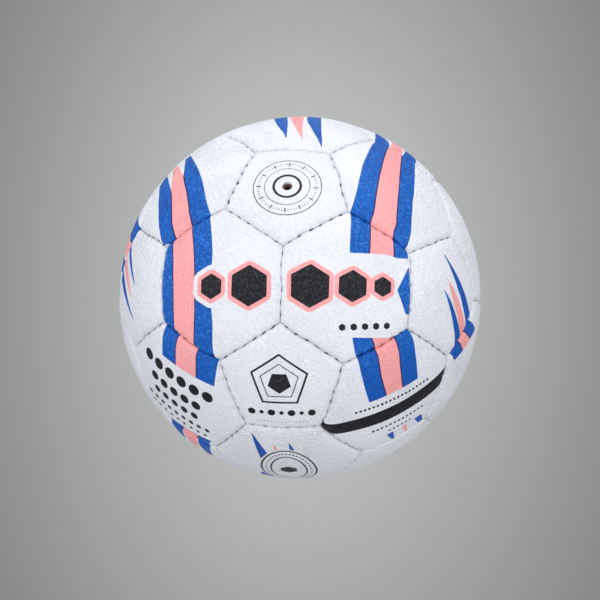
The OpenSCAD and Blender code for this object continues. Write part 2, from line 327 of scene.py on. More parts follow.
for art in [ART["H01"]]:
    art.ink("blue", strip(along_y(ys, e0), along_y(ys, [v + 0.15 for v in e1])))
    art.ink("pink", strip(along_y(ys, [v - 0.15 for v in e1]), along_y(ys, [v + 0.15 for v in e2])))
    art.ink("blue", strip(along_y(ys, [v - 0.15 for v in e2]), along_y(ys, e3)))
    art.bare([(-34, 19.5), (6.3, 11.4), (19.7, 4.1), (23.6, 0.6), (28.8, -2.1), (28.0, -4.5), (26.4, -4.6), (17.0, -10.1), (16.4, -20.6),
              (19.0, -22.7), (14.5, -30), (8.5, -26.9), (-8, -18.2), (-34, -5)], 0.2)


def row_of_stripes(art, ys, e0, e1, e2, e3):
    art.ink("blue", strip(along_y(ys, e0), along_y(ys, [v + 0.15 for v in e1])))
    art.ink("pink", strip(along_y(ys, [v - 0.15 for v in e1]), along_y(ys, [v + 0.15 for v in e2])))
    art.ink("blue", strip(along_y(ys, [v - 0.15 for v in e2]), along_y(ys, e3)))


# Lower left: a short stretch at the top, and the stripes again at the foot.
row_of_stripes(ART["H10"], [29, 26, 24, 22, 20, 18, 16, 12], [-13.6, -13.3, -13.1, -12.9, -12.4, -11.8, -11.2, -10.1],
               [-5.7, -5.6, -5.5, -5.2, -4.6, -4.1, -3.6, -2.6], [5.2, 5.4, 5.5, 6.1, 6.6, 7.1, 7.5, 8.2],
               [14.8, 15.1, 15.4, 15.6, 15.8, 15.9, 16.1, 16.3])
row_of_stripes(ART["H10"], [-18, -22, -25, -30], [-4.0, -5.9, -7.4, -9.8], [3.0, 0.8, -0.6, -2.6],
               [10.6, 8.6, 7.2, 5.2], [16.4, 14.4, 13.0, 11.2])
ART["H10"].bare([(-34, 13.6), (-11, 14.1), (16.2, 14.9), (34, 15.2), (34, -19.8), (14, -20.3), (-6, -21.6), (-34, -23)])

# Lower right: the stripes end on a slanting cut above a dark belt, and three points hang below.
row_of_stripes(ART["H06"], [29, 26, 24, 20, 16, 12, 8, 2], [-9.2, -9.3, -9.5, -9.9, -10.1, -10.2, -10.1, -9.8],
               [-1.2, -1.25, -1.3, -1.9, -2.5, -2.7, -2.7, -2.6], [8.6, 8.5, 8.4, 7.85, 6.8, 6.2, 5.5, 4.9],
               [15.6, 15.9, 16.0, 15.5, 14.6, 13.9, 13.1, 12.2])
ART["H06"].bare([(-34, 6.0), (-10.1, 5.6), (12.8, 4.1), (34, 3.0), (34, -34), (-34, -34)])
ART["H06"].line("black", lambda p: sd_poly(p, strip(
    along_x([-33, -31, -29.5, -28, -25, -20, -15, -10, -5, 0, 5, 10, 15, 20, 25, 29.9], [6.5, 3.4, 1.9, 1.1, 0.2, -0.3, -0.8, -1.2, -1.5, -1.9, -2.2, -2.4, -2.7, -2.9, -2.9, -2.4]),
    along_x([-33, -31, -29.5, -28, -25, -20, -15, -10, -5, 0, 5, 10, 15, 20, 25, 27.3], [-1.2, -2.4, -3.9, -5.0, -6.1, -6.7, -7.3, -7.9, -8.4, -8.7, -8.9, -9.2, -9.6, -9.9, -10.1, -10.2]))))


def points_down(art, spec):
    for colour, a, b in spec:
        art.items.append((colour, lambda p, poly=strip(a, b): sd_poly(p, poly), "over"))


points_down(ART["H06"], [
    ("blue", [(-4.8, -18.8), (-3.4, -22.6), (-1.2, -27.4)], [(-2.0, -18.8), (-1.7, -22.6), (-1.1, -27.4)]),
    ("pink", [(2.4, -18.8), (3.5, -23.2), (5.1, -28)], [(4.4, -18.8), (4.8, -23.2), (5.2, -28)]),
    ("blue", [(8.7, -19), (10.5, -23.6), (13.6, -29.6)], [(12.2, -19), (13.0, -23.6), (13.8, -29.6)])])

# The points on the left and right pentagons, which grow out of the seam beside them.
points_down(ART["P06"], [
    ("blue", [(-27, -2.2), (-22, -0.7), (-17, 0.2), (-10, 0.9), (-4, 1.4), (0.6, 1.8)], [(-27, 3.0), (-22, 2.3), (-17, 2.4), (-10, 2.6), (-4, 2.4), (0.6, 1.9)]),
    ("pink", [(-27, -11.5), (-22, -8.7), (-17, -6.6), (-10, -5.2), (-3, -4.4), (2.8, -3.7)], [(-27, -4.4), (-22, -3.6), (-17, -2.9), (-10, -2.2), (-3, -2.6), (2.8, -3.5)]),
    ("blue", [(-27, -19.5), (-22, -16.4), (-17, -13.7), (-11, -11.6), (-3, -10.0), (10, -8.7)], [(-27, -14.5), (-22, -11.8), (-17, -9.3), (-11, -7.6), (-3, -7.4), (10, -8.5)])])
ys = [-25, -21, -16, -12, -8, -4, 0, 3.7]
points_down(ART["P03"], [
    ("blue", along_y(ys, [-13.2, -11.0, -8.2, -6.8, -5.2, -3.7, -2.1, -0.8]), along_y(ys, [-6.7, -5.5, -4.2, -3.4, -2.5, -1.6, -1.0, -0.7])),
    ("pink", along_y(ys, [-6.4, -5.2, -3.8, -2.6, -1.3, 0.2, 1.9, 4.1]), along_y(ys, [-1.0, -0.6, 0.9, 1.6, 2.5, 3.2, 3.9, 4.3])),
    ("blue", along_y([-25, -21, -16, -12, -8, -4, 0, 6, 11.3], [-0.7, 0.8, 2.3, 3.3, 4.8, 6.0, 7.6, 10.0, 11.8]),
     along_y([-25, -21, -16, -12, -8, -4, 0, 6, 11.3], [6.1, 6.3, 6.9, 7.8, 8.7, 9.5, 10.2, 11.2, 11.9]))])

# The points on the hexagon above the valve, which widen towards the far side.
points_down(ART["H03"], [
    ("blue", along_y([23.8, 18, 14, 10, 6, 2, -2, -6, -10, -16, -22, -29], [-11.7, -11.1, -10.5, -10.0, -9.5, -9.1, -8.7, -8.3, -7.9, -7.4, -7.0, -6.6]),
     along_y([23.8, 18, 14, 10, 6, 2, -2, -6, -10, -16, -22, -29], [-11.6, -9.5, -7.8, -6.5, -5.1, -4.0, -3.3, -2.7, -2.4, -1.7, -1.0, -0.4])),
    ("pink", along_y([19.2, 14, 10, 6, 2, -2, -6, -10, -16, -22, -29], [-3.3, -2.7, -2.2, -1.9, -1.6, -1.2, -1.1, -0.7, -0.3, 0.1, 0.4]),
     along_y([19.2, 14, 10, 6, 2, -2, -6, -10, -16, -22, -29], [-3.2, -1.3, 0.1, 1.3, 2.4, 3.1, 3.9, 4.6, 5.7, 6.5, 7.2])),
    ("blue", along_y([19.0, 14, 10, 6, 2, -2, -6, -10, -16, -22, -29], [3.3, 3.6, 3.9, 4.2, 4.6, 5.1, 5.6, 6.1, 6.9, 7.5, 8.0]),
     along_y([19.0, 14, 10, 6, 2, -2, -6, -10, -16, -22, -29], [3.4, 4.9, 6.6, 8.0, 9.1, 10.0, 10.7, 11.4, 12.5, 13.4, 14.2]))])

# The points below the lower pentagon.
ys = [23, 18, 14, 10, 6, 0, -8, -16, -24, -30]
points_down(ART["H11"], [
    ("blue", along_y(ys, [-12.9, -12.2, -11.6, -11.0, -10.5, -9.9, -10.6, -12.4, -13.6, -14.2]), along_y(ys, [-12.8, -10.5, -8.8, -7.5, -7.0, -6.9, -7.0, -7.2, -7.6, -8.0]))])
ys = [17.6, 14, 10, 6, 0, -8, -16, -24, -30]
points_down(ART["H11"], [
    ("pink", along_y(ys, [-4.3, -4.2, -4.4, -4.8, -5.4, -6.0, -6.5, -7.0, -7.2]), along_y(ys, [-4.2, -3.0, -2.2, -1.7, -1.2, -0.9, -0.6, -0.4, -0.3]))])
ys = [18.7, 14, 10, 6, 0, -8, -16, -24, -30]
points_down(ART["H11"], [
    ("blue", along_y(ys, [2.0, 2.1, 1.9, 1.6, 1.2, 0.9, 0.7, 0.6, 0.6]), along_y(ys, [2.1, 3.8, 4.9, 5.6, 6.2, 6.5, 6.7, 6.6, 6.5]))])

# The short stretch under the right pentagon, and the stripes that feed the left one.
row_of_stripes(ART["H12"], [30, 26, 24, 22, 18, 12], [-14.6, -13.4, -13.3, -12.6, -11.0, -8.6], [-7.4, -6.6, -6.5, -6.3, -5.4, -4.0],
               [-1.9, -0.7, -0.2, 0.5, 2.2, 4.6], [3.4, 5.2, 5.9, 6.8, 7.6, 8.6])
ART["H12"].bare([(-34, 25.0), (-13, 21.9), (8, 17.0), (34, 10.5), (34, -34), (-34, -34)])


def slanted(art, base, spec):
    c, s = math.cos(math.radians(base)), math.sin(math.radians(base))
    for colour, us, lo, hi in spec:
        a = [(u * c - v * s, u * s + v * c) for u, v in zip(us, lo)]
        b = [(u * c - v * s, u * s + v * c) for u, v in zip(us, hi)]
        art.items.append((colour, lambda p, poly=strip(a, b): sd_poly(p, poly), "own"))


slanted(ART["H15"], 35, [
    ("blue", [-33, -27, -20, -12, -4, 6], [-13.6, -13.4, -12.8, -12.2, -11.8, -11.6], [-5.1, -4.9, -4.6, -4.2, -3.9, -3.8]),
    ("pink", [-33, -27, -20, -12, -4, 6], [-4.9, -4.7, -4.5, -4.1, -3.9, -3.8], [1.6, 1.8, 2.6, 3.4, 4.0, 4.3]),
    ("blue", [-33, -27, -20, -12, -4, 6], [4.0, 4.0, 4.0, 4.0, 4.1, 4.2], [9.4, 9.8, 10.4, 11.0, 11.3, 11.4])])
ART["H15"].bare([(14.5, -34), (9.5, -10.5), (1.0, 6.5), (-8.0, 34), (40, 34), (40, -34)])

points_down(ART["P04"], [
    ("blue", [(-1.6, 26.6), (4.0, 17.6), (8.4, 9.2)], [(-6.9, 22.8), (-0.4, 15.0), (8.2, 9.0)]),
    ("pink", [(-7.2, 22.6), (-2.0, 12.6), (5.2, 2.4)], [(-12.0, 19.2), (-5.6, 10.2), (5.0, 2.2)]),
    ("blue", [(-12.4, 19.0), (-7.4, 8.4), (-1.9, -2.4)], [(-17.4, 15.2), (-11.2, 5.4), (-2.1, -2.6)])])
ys = [-25, -21, -16, -10, -4, 2]
points_down(ART["P05"], [
    ("blue", along_y(ys, [1.6, 1.8, 2.4, 3.2, 4.2, 5.6]), along_y(ys, [9.2, 8.3, 7.5, 6.7, 6.1, 5.7])),
    ("pink", along_y([-25, -21, -16, -10, -3, 6], [-6.9, -6.3, -5.2, -3.9, -2.4, -0.6]), along_y([-25, -21, -16, -10, -3, 6], [1.4, 1.2, 0.9, 0.6, 0.1, -0.5])),
    ("blue", along_y([-25, -21, -16, -10, -2, 9], [-13.6, -12.8, -11.6, -10.3, -8.8, -7.1]), along_y([-25, -21, -16, -10, -2, 9], [-7.1, -6.7, -6.4, -6.3, -6.6, -7.0]))])

# A row of hexagons across the two upper front panels, each with a coloured border.
FIGURES = [(-28.6, -1.4, 5.1), (-12.6, -1.0, 8.1), (11.4, -0.5, 8.5), (28.3, 0.2, 6.4), (40.9, 0.7, 4.1)]
for panel in ("H05", "H01"):
    for x, y, r in FIGURES:
        if (x < 0) == (panel == "H05"):
            hexagon = ngon(x, y, r - 0.8, 6, 30)
            ART[panel].line("figure", lambda p, h=hexagon: sd_poly(p, h) - 0.8, "front")
            ART[panel].line("border", lambda p, h=hexagon: sd_poly(p, h) - 2.5, "front")
            if panel == "H05":
                ART[panel].bare(hexagon, 4.4, "front")
for k in range(5):
    ART["H01"].line("figure", lambda p, h=ngon(24.6 + 4.7 * k, -16.4 + 0.25 * k, 1.35, 6, 30): sd_poly(p, h) - 0.15, "front")

# Lower pentagon: one pentagon inside another, over a row of dots.
big = ngon(-0.4, 1.9, 11.6, 5, 90)
small = ngon(-0.4, 1.5, 4.6, 5, -90)
mid_ = ngon(-0.4, 1.7, 7.9, 5, 90)
ART["P02"].line("figure", lambda p: np.abs(sd_poly(p, big)) - 0.42)
ART["P02"].line("figure", lambda p: np.abs(sd_poly(p, mid_)) - 0.22)
ART["P02"].line("figure", lambda p: sd_poly(p, small) - 0.2)
for k in range(7):
    ART["P02"].line("figure", lambda p, d=disc(-12.0 + 4.0 * k, -12.6, 1.55 if k % 2 == 0 else 0.9): sd_poly(p, d))
for k in range(15):
    ART["P02"].line("fine", lambda p, d=disc(-9.8 + 1.4 * k, -17.3, 0.28, 12): sd_poly(p, d))

# Lower left: rows of dots that shrink downwards.
for row, (y, n, r, pitch, x0) in enumerate([(8.6, 6, 2.55, 6.5, -2.2), (0.6, 5, 2.15, 5.7, -2.2), (-6.2, 5, 1.75, 5.1, -1.8),
                                            (-12.2, 9, 1.15, 3.9, -1.4), (-16.8, 9, 0.85, 3.5, -1.2)]):
    for k in range(n):
        ART["H10"].line("figure", lambda p, d=disc(x0 + pitch * (k - (n - 1) / 2),
                                                   y - 0.02 * pitch * k, r, 24): sd_poly(p, d))

# Lower right: two rows of small dots beside the belt.
for k in range(19):
    ART["H06"].line("figure", lambda p, d=disc(-16.2 + 1.84 * k, 2.9 - 0.088 * 1.84 * k, 0.62, 12): sd_poly(p, d))
for k in range(13):
    ART["H06"].line("figure", lambda p, d=disc(-10.8 + 1.95 * k, -11.9 - 0.06 * 1.95 * k, 0.66, 12): sd_poly(p, d))
for k in range(6):
    ART["H06"].line("figure", lambda p, d=disc(-3.6 + 1.95 * k, -16.1 - 0.06 * 1.95 * k, 0.6, 12): sd_poly(p, d))

# Bottom: a double oval.
ART["H11"].line("figure", lambda p: ring_line(p, 0.2, -5.0, 11.2, 18.2, 0.75))
ART["H11"].line("figure", lambda p: ring_line(p, 0.2, -5.0, 7.3, 13.4, 0.7))
ART["H11"].bare_line(lambda p: (np.sqrt((((p - (0.2, -5.0)) / (12.4, 19.4)) ** 2).sum(1)) - 1) * 12)
for k in range(40):
    a = 2 * math.pi * k / 40
    ART["H11"].line("figure", lambda p, d=disc(0.2 + 9.25 * math.cos(a), -5.0 + 15.8 * math.sin(a), 0.5, 12): sd_poly(p, d))
ART["H11"].line("figure", lambda p: sd_poly(p, ngon(0.2, -4.5, 3.6, 6, 30)) - 0.2)

# The rings round the valve, with a scale of short marks between the outer two.
ART["P01"].line("figure", lambda p: np.abs(np.hypot(p[:, 0], p[:, 1]) - 5.35) - 0.52)
ART["P01"].line("fine", lambda p: np.abs(np.hypot(p[:, 0], p[:, 1]) - 9.0) - 0.17)
ART["P01"].line("fine", lambda p: np.abs(np.hypot(p[:, 0], p[:, 1]) - 13.55) - 0.2)


def marks(p):
    rho, a = np.hypot(p[:, 0], p[:, 1]), np.degrees(np.arctan2(p[:, 1], p[:, 0]))
    out = np.full(len(p), 9.0)
    for step, r0, r1, w in ((6.0, 11.0, 12.0, 0.16), (30.0, 10.4, 12.4, 0.26)):
        b = (a + step / 2) % step - step / 2
        side = np.abs(np.radians(b)) * rho - w
        out = np.minimum(out, np.maximum(side, np.abs(rho - (r0 + r1) / 2) - (r1 - r0) / 2))
    return out


ART["P01"].line("fine", marks)

# The far side carries the same prints, turned half round the X axis.
FLIP = np.diag([1.0, -1.0, -1.0])


def chart_of(name):
    c = centre_of(name)
    up = np.array([0, 0, 1.0]) if abs(c[2]) < 0.999 else np.array([0, 1.0, 0])
    n = unit(up - c * (up @ c))
    return np.cross(n, c), n, c


BASE = ["P%02d" % k for k in range(1, 7)] + ["H01", "H02", "H03", "H04", "H05", "H06", "H10", "H11", "H12", "H15"]
CHART = {name: chart_of(name) for name in BASE}
f = math.radians(31.717)
front_c = np.array([0, -math.sin(f), math.cos(f)])
front_n = unit(np.array([0, 0, 1.0]) - front_c * front_c[2])
FRONT = (np.cross(front_n, front_c), front_n, front_c)
SOURCE = {}
for name in PLACE:
    if name in BASE:
        SOURCE[name] = (name, CHART[name], FRONT)
    else:
        twin = FLIP @ centre_of(name)
        base = next(b for b in BASE if np.dot(centre_of(b), twin) > 0.999)
        SOURCE[name] = (base, tuple(FLIP @ v for v in CHART[base]), tuple(FLIP @ v for v in FRONT))


def to_chart(chart, d):
    e, n, c = chart
    ang = np.arccos(np.clip(d @ c, -1, 1))
    x, y = d @ e, d @ n
    q = np.hypot(x, y)
    k = np.where(q > 1e-9, ang / np.maximum(q, 1e-9), 1) * R
    return np.c_[x * k, y * k]


def printed(name, d):
    """Signed distances to each ink at the directions d, in millimetres."""
    base, own, front = SOURCE[name]
    art = ART[base]
    # The opposite of the valve panel has no valve, and so no rings.
    if name == "P12":
        art = Art()
    pts = {"own": to_chart(own, d), "front": to_chart(front, d)}
    pts["over"] = pts["own"]
    far = {k: np.full(len(d), 9.0) for k in ("blue", "pink", "black")}
    clear = np.full(len(d), 9.0)
    for fn, chart in art.clear:
        clear = np.minimum(clear, fn(pts[chart]))
    for ink, fn, chart in art.items:
        sd = fn(pts[chart]) - (0.13 if ink in ("blue", "pink") else 0)
        if ink in ("figure", "fine", "black"):
            far["black"] = np.minimum(far["black"], sd)
        elif ink == "border":
            far["pink"] = np.minimum(far["pink"], sd)
        elif chart == "over" and base != "H11":
            far[ink] = np.minimum(far[ink], sd)
        else:
            far[ink] = np.minimum(far[ink], np.maximum(sd, -clear))
    return far


# --- a panel's mesh ----------------------------------------------------------------

def half_angle(sides):
    return math.radians(APO5 if sides == 5 else APO6)


def corner_polar(sides, r, g):
    """Polar angle of the corner where two planes at distance g from the seams meet, at radius r."""
    ap = half_angle(sides)
    a, b = math.sin(ap), math.cos(ap) * math.cos(math.pi / sides)
    return math.acos(g / r / math.hypot(a, b)) - math.atan2(b, a)


def spoke(sides, k):
    t = (2 * k + 1) * math.pi / sides
    return math.cos(t), math.sin(t)


def flat_corners(sides, r, g):
    th = corner_polar(sides, r, g)
    return np.array([[math.sin(th) * spoke(sides, k)[0], math.sin(th) * spoke(sides, k)[1], math.cos(th)] for k in range(sides)])


def grid(sides, rows, first, reach, hole):
    """Directions over a panel in rings: ring i has sides*i points. With a hole, the innermost ring is a circle of that radius."""
    c = flat_corners(sides, R, 0.0)
    z = c[0, 2]
    dirs, start, index = [], {}, 0
    for i in range(first, rows + 1):
        start[i] = index
        if i == 0:
            dirs.append(np.array([[0, 0, 1.0]]))
            index += 1
            continue
        t = np.arange(i) / i
        ring = np.vstack([c[k] * (1 - t)[:, None] + c[(k + 1) % sides] * t[:, None] for k in range(sides)])
        if hole:
            u = reach((i - first) / (rows - first))
            edge_dir = unit(ring)
            ang = np.arccos(edge_dir[:, 2])
            az = np.arctan2(ring[:, 1], ring[:, 0])
            even = 2 * math.pi * (np.arange(len(ring)) / len(ring)) + math.pi / sides
            az = np.angle(np.exp(1j * az) * u + np.exp(1j * even) * (1 - u))
            ang = ang * u + hole / R * (1 - u)
            ring = np.c_[np.sin(ang) * np.cos(az), np.sin(ang) * np.sin(az), np.cos(ang)]
        else:
            u = reach(i / rows)
            ring = np.c_[ring[:, :2] * u, np.full(len(ring), z)]
        dirs.append(unit(ring))
        index += len(ring)
    faces = []
    for i in range(max(first, 0) + 1, rows + 1):
        a, b = start[i - 1], start[i]
        na, nb = max(1, sides * (i - 1)), sides * i
        for k in range(sides):
            t = np.arange(i)
            o0, o1 = b + (k * i + t) % nb, b + (k * i + t + 1) % nb
            inner = a + (k * (i - 1) + t) % na if i > 1 else np.full(i, a)
            faces.append(np.c_[inner, o0, o1])
            if i > 1:
                t = np.arange(i - 1)
                i0, i1 = a + (k * (i - 1) + t) % na, a + (k * (i - 1) + t + 1) % na
                faces.append(np.c_[i0, b + (k * i + t + 1) % nb, i1])
    return np.vstack(dirs), np.vstack(faces), start


def on_plane_loop(sides, per, r, g):
    """per points a side on the curve at distance g[...] inside the seam planes and at radius r[...]."""
    ap = half_angle(sides)
    out = []
    for k in range(sides):
        # the side between corner k and corner k + 1
        az = (k + 1) * 2 * math.pi / sides
        m = np.array([-math.cos(ap) * math.cos(az), -math.cos(ap) * math.sin(az), math.sin(ap)])
        rr, gg = r[k * per:(k + 1) * per], g[k * per:(k + 1) * per]
        t = np.arange(per) / per
        c0 = np.array([flat_corner(sides, k, a, b) for a, b in zip(rr, gg)])
        c1 = np.array([flat_corner(sides, (k + 1) % sides, a, b) for a, b in zip(rr, gg)])
        p = c0 * (1 - t)[:, None] + c1 * t[:, None]
        q = p - (p @ m)[:, None] * m
        q = unit(q) * np.sqrt(np.maximum(rr ** 2 - gg ** 2, 1))[:, None]
        out.append(q + gg[:, None] * m)
    return np.vstack(out)


def flat_corner(sides, k, r, g):
    th = corner_polar(sides, r, g)
    cx, cy = spoke(sides, k)
    return r * np.array([math.sin(th) * cx, math.sin(th) * cy, math.cos(th)])


def build_panel(name):
    sides = 5 if name[0] == "P" else 6
    place = turn(PLACE[name])
    valve = name == "P01"
    first = 8 if valve else 0
    ap = half_angle(sides)
    dirs, faces, start = grid(sides, N, first, lambda x: 1 - (1 - x) ** 1.25, 2.22 if valve else 0)
    n_top = len(dirs)

    # distance to every seam and place along it
    dist, along, seams, ways, normals, tangents = [], [], [], [], [], []
    for k in range(sides):
        az = (k + 1) * 2 * math.pi / sides
        m = np.array([-math.cos(ap) * math.cos(az), -math.cos(ap) * math.sin(az), math.sin(ap)])
        o = np.array([math.sin(ap) * math.cos(az), math.sin(ap) * math.sin(az), math.cos(ap)])
        t = np.array([-math.sin(az), math.cos(az), 0.0])
        s, way = seam_of(place @ o, place @ t)
        dist.append(R * np.arcsin(np.clip(dirs @ m, -1, 1)))
        along.append(R * np.arctan2(dirs @ t, dirs @ o))
        seams.append(s)
        ways.append(way)
        normals.append(m)
        tangents.append(t)
    dist, along = np.maximum(np.array(dist), 0), np.array(along)
    world = dirs @ place.T

    # rounded corners: a soft minimum of the distances
    soft = 0.6
    d = -soft * np.log(np.exp(-np.clip(dist, 0, 40) / soft).sum(0) + 1e-300)
    nearest = dist.argmin(0)

    shift = np.zeros((n_top, 3))
    pucker = np.zeros(n_top)
    for k in range(sides):
        s, way = seams[k], ways[k]
        dk, sk = dist[k], along[k]
        close = dk < 9
        w = np.zeros(n_top)
        pull = np.zeros(n_top)
        for at, opened, skew in zip(s["at"], s["open"], s["skew"]):
            w += SLIT * opened * np.exp(-((sk - way * at - skew) / 0.85) ** 4)
            pull += s["tight"] * opened * np.exp(-((sk - way * at) / 1.25) ** 2)
        end = np.clip((14.6 - np.abs(sk)) / 1.5, 0, 1)
        w, pull = w * end * close, pull * end * close
        stray = way * wander(s, sk * way) * close
        shift += normals[k] * ((GAP + w) * np.exp(-dk / 0.7) + stray * np.exp(-dk / 3.0) * end)[:, None]
        pucker += pull * (0.20 * np.exp(-dk / 1.0) + 0.13 * np.exp(-(dk / 3.2) ** 2))

    x = np.clip(1 - d / SHOULDER_W, 0, 1)
    pull_in = np.exp(-np.clip(dist - dist.min(0), 0, 40) / 1.5)
    valley = (pull_in * np.array([s["valley"] for s in seams])[:, None]).sum(0) / pull_in.sum(0)
    depth = valley * SHOULDER_H * (1 - np.sqrt(np.maximum(1 - x * x, 0)))
    depth += np.where(d < 0, -d * 0.8, 0)
    depth += 0.30 * np.exp(-np.maximum(d, 0) / 3.6)                 # the panel swells between its seams
    depth += pucker
    # creases that run away from the seam, and a slack, uneven surface
    sk = along[nearest, np.arange(n_top)]
    dk = dist[nearest, np.arange(n_top)]
    seed = 31 + int(name[1:]) + (40 if name[0] == "H" else 0)
    crease = fractal(np.c_[sk / 1.15, dk / 4.5 + nearest * 13.1, np.full(n_top, seed * 1.7)], 2, seed)
    fade = np.exp(-dk / 3.2) * np.clip(dk / 0.5, 0, 1)
    depth += 0.10 * np.minimum(crease, 0.25) * -fade
    fine = fractal(world * R / 1.1, 2, seed + 5)
    depth += 0.018 * fine
    depth += 0.035 * fractal(world * R / 3.4, 2, seed + 9) * (0.4 + 0.6 * np.exp(-dk / 8))
    depth += 0.10 * noise(world * R / 15.0, seed + 2) + 0.05
    if valve:
        rho = R * np.arccos(np.clip(dirs[:, 2], -1, 1))
        depth += 0.10 * np.exp(-((rho - 2.2) / 2.5) ** 2)

    moved = dirs + shift / R
    top = unit(moved) * (R - depth)[:, None]

    verts = [top]
    tris = [faces]
    quads = []
    rest = [dirs]
    deep = [depth]
    count = n_top
    per = N
    ring = start[N] + np.arange(sides * N)          # the seam edge of the crown
    ring_depth = depth[ring]
    ring_off = np.full(len(ring), GAP)
    # opened slits carry on down to the thread
    for k in range(sides):
        s, way = seams[k], ways[k]
        idx = np.arange(k * N, (k + 1) * N)
        sk = along[k][ring[idx]]
        end = np.clip((14.6 - np.abs(sk)) / 1.5, 0, 1)
        for at, opened, skew in zip(s["at"], s["open"], s["skew"]):
            ring_off[idx] += SLIT * opened * np.exp(-((sk - way * at - skew) / 0.85) ** 4) * end
    levels = [2.05, 2.75, 3.0, 3.4, 3.65, 4.35]
    loops = [ring]
    last = ring_depth
    for lv in levels:
        lv_depth = np.maximum(lv, last + 0.06)
        blend = np.clip((3.1 - lv_depth) / 1.2, 0, 1)
        g = 0.1 + (ring_off - GAP) * blend
        pts = on_plane_loop(sides, N, R - lv_depth, g)
        # keep the columns above one another
        verts.append(pts)
        rest.append(unit(pts))
        deep.append(lv_depth)
        loops.append(count + np.arange(len(pts)))
        count += len(pts)
        last = lv_depth
    inner_levels = [4.35, 3.65, 3.4, 3.0, 2.75, 1.55]
    inner = []
    for lv in inner_levels:
        r = R - np.maximum(lv, 0) * np.ones(sides * N)
        g = np.full(sides * N, 1.3)
        pts = on_plane_loop(sides, N, r, g)
        verts.append(pts)
        rest.append(unit(pts))
        deep.append(np.full(len(pts), 4.0))
        inner.append(count + np.arange(len(pts)))
        count += len(pts)

    total = sides * N
    nxt = (np.arange(total) + 1) % total
    # which columns a stitch hole takes
    column = np.zeros((total,), int)
    half = (STITCHES - 1) / 2
    for k in range(sides):
        idx = np.arange(k * N, (k + 1) * N)
        sk = along[k][ring[idx]]
        for j in range(STITCHES):
            at = math.radians((j - half) * STEP) * R
            mid_col = int(np.argmin(np.abs(sk + 0.19 - at)))      # a column's middle
            for off in (-1, 0, 1):
                column[k * N + mid_col + off] = 1 if off else 2
    cut = {1: (column == 2), 2: (column > 0), 3: (column == 2)}   # cells between hole levels

    def wall(upper, lower, skip=None):
        keep = np.ones(total, bool) if skip is None else ~skip
        i = np.arange(total)[keep]
        return np.c_[upper[i], lower[i], lower[nxt[i]], upper[nxt[i]]]

    outer = loops[1:]
    quads.append(wall(loops[0], outer[0]))
    quads.append(wall(outer[0], outer[1]))
    quads.append(wall(outer[1], outer[2], cut[1]))
    quads.append(wall(outer[2], outer[3], cut[2]))
    quads.append(wall(outer[3], outer[4], cut[3]))
    quads.append(wall(outer[4], outer[5]))
    quads.append(wall(outer[5], inner[0]))
    quads.append(wall(inner[0], inner[1]))
    quads.append(wall(inner[1], inner[2], cut[3]))
    quads.append(wall(inner[2], inner[3], cut[2]))
    quads.append(wall(inner[3], inner[4], cut[1]))
    quads.append(wall(inner[4], inner[5]))
    # the punched holes' own walls: one quad for each edge of the cut cells
    o_rows, i_rows = outer[1:5], [inner[4], inner[3], inner[2], inner[1]]
    gone = np.array([cut[1], cut[2], cut[3]])                     # rows from top to bottom
    tube = []
    for row in range(3):
        for i in np.nonzero(gone[row])[0]:
            j = nxt[i]
            left, right = i - 1, j
            if not gone[row][left]:
                tube.append((o_rows[row][i], i_rows[row][i], i_rows[row + 1][i], o_rows[row + 1][i]))
            if not gone[row][right % total]:
                tube.append((o_rows[row][j], o_rows[row + 1][j], i_rows[row + 1][j], i_rows[row][j]))
            if row == 0 or not gone[row - 1][i]:
                tube.append((o_rows[row][i], o_rows[row][j], i_rows[row][j], i_rows[row][i]))
            if row == 2 or not gone[row + 1][i]:
                tube.append((o_rows[row + 1][i], i_rows[row + 1][i], i_rows[row + 1][j], o_rows[row + 1][j]))
    quads.append(np.array(tube)[:, ::-1])

    # the inside of the skin, coarse
    first_in = 4 if valve else 0
    c_dirs, c_faces, c_start = grid(sides, M, first_in, lambda x: x, 2.0 if valve else 0)
    keep = c_start[M]
    # pull the coarse rings in so that they end beside the inner wall's head
    edge_scale = 1 - 1.9 / (R * ap)
    lift = c_dirs[:keep].copy()
    lift[:, :2] *= edge_scale if not valve else 1
    if valve:
        rho = np.arccos(np.clip(c_dirs[:keep, 2], -1, 1))
        rho2 = 2.0 / R + (rho - 2.0 / R) * edge_scale
        az = np.arctan2(c_dirs[:keep, 1], c_dirs[:keep, 0])
        lift = np.c_[np.sin(rho2) * np.cos(az), np.sin(rho2) * np.sin(az), np.cos(rho2)]
    inside = unit(lift) * 73.8
    verts.append(inside)
    rest.append(unit(inside))
    deep.append(np.full(len(inside), 4.0))
    base = count
    count += len(inside)
    inner_tris = c_faces[(c_faces < keep).all(1)] + base
    tris.append(inner_tris[:, ::-1])
    # stitch the last coarse ring to the fine loop
    coarse = base + c_start[M - 1] + np.arange(sides * (M - 1))
    top_loop = inner[5]
    fan = []
    for k in range(sides):
        a_pts = [top_loop[(k * N + t) % total] for t in range(N + 1)]
        nb = sides * (M - 1)
        b_pts = [coarse[(k * (M - 1) + t) % nb] for t in range(M)]
        ia = ib = 0
        while ia < N or ib < M - 1:
            if ib == M - 1 or (ia < N and (ia + 1) / N <= (ib + 0.5) / (M - 1)):
                fan.append((a_pts[ia], a_pts[ia + 1], b_pts[ib]))
                ia += 1
            else:
                fan.append((a_pts[ia], b_pts[ib + 1], b_pts[ib]))
                ib += 1
    tris.append(np.array(fan)[:, ::-1])

    if valve:
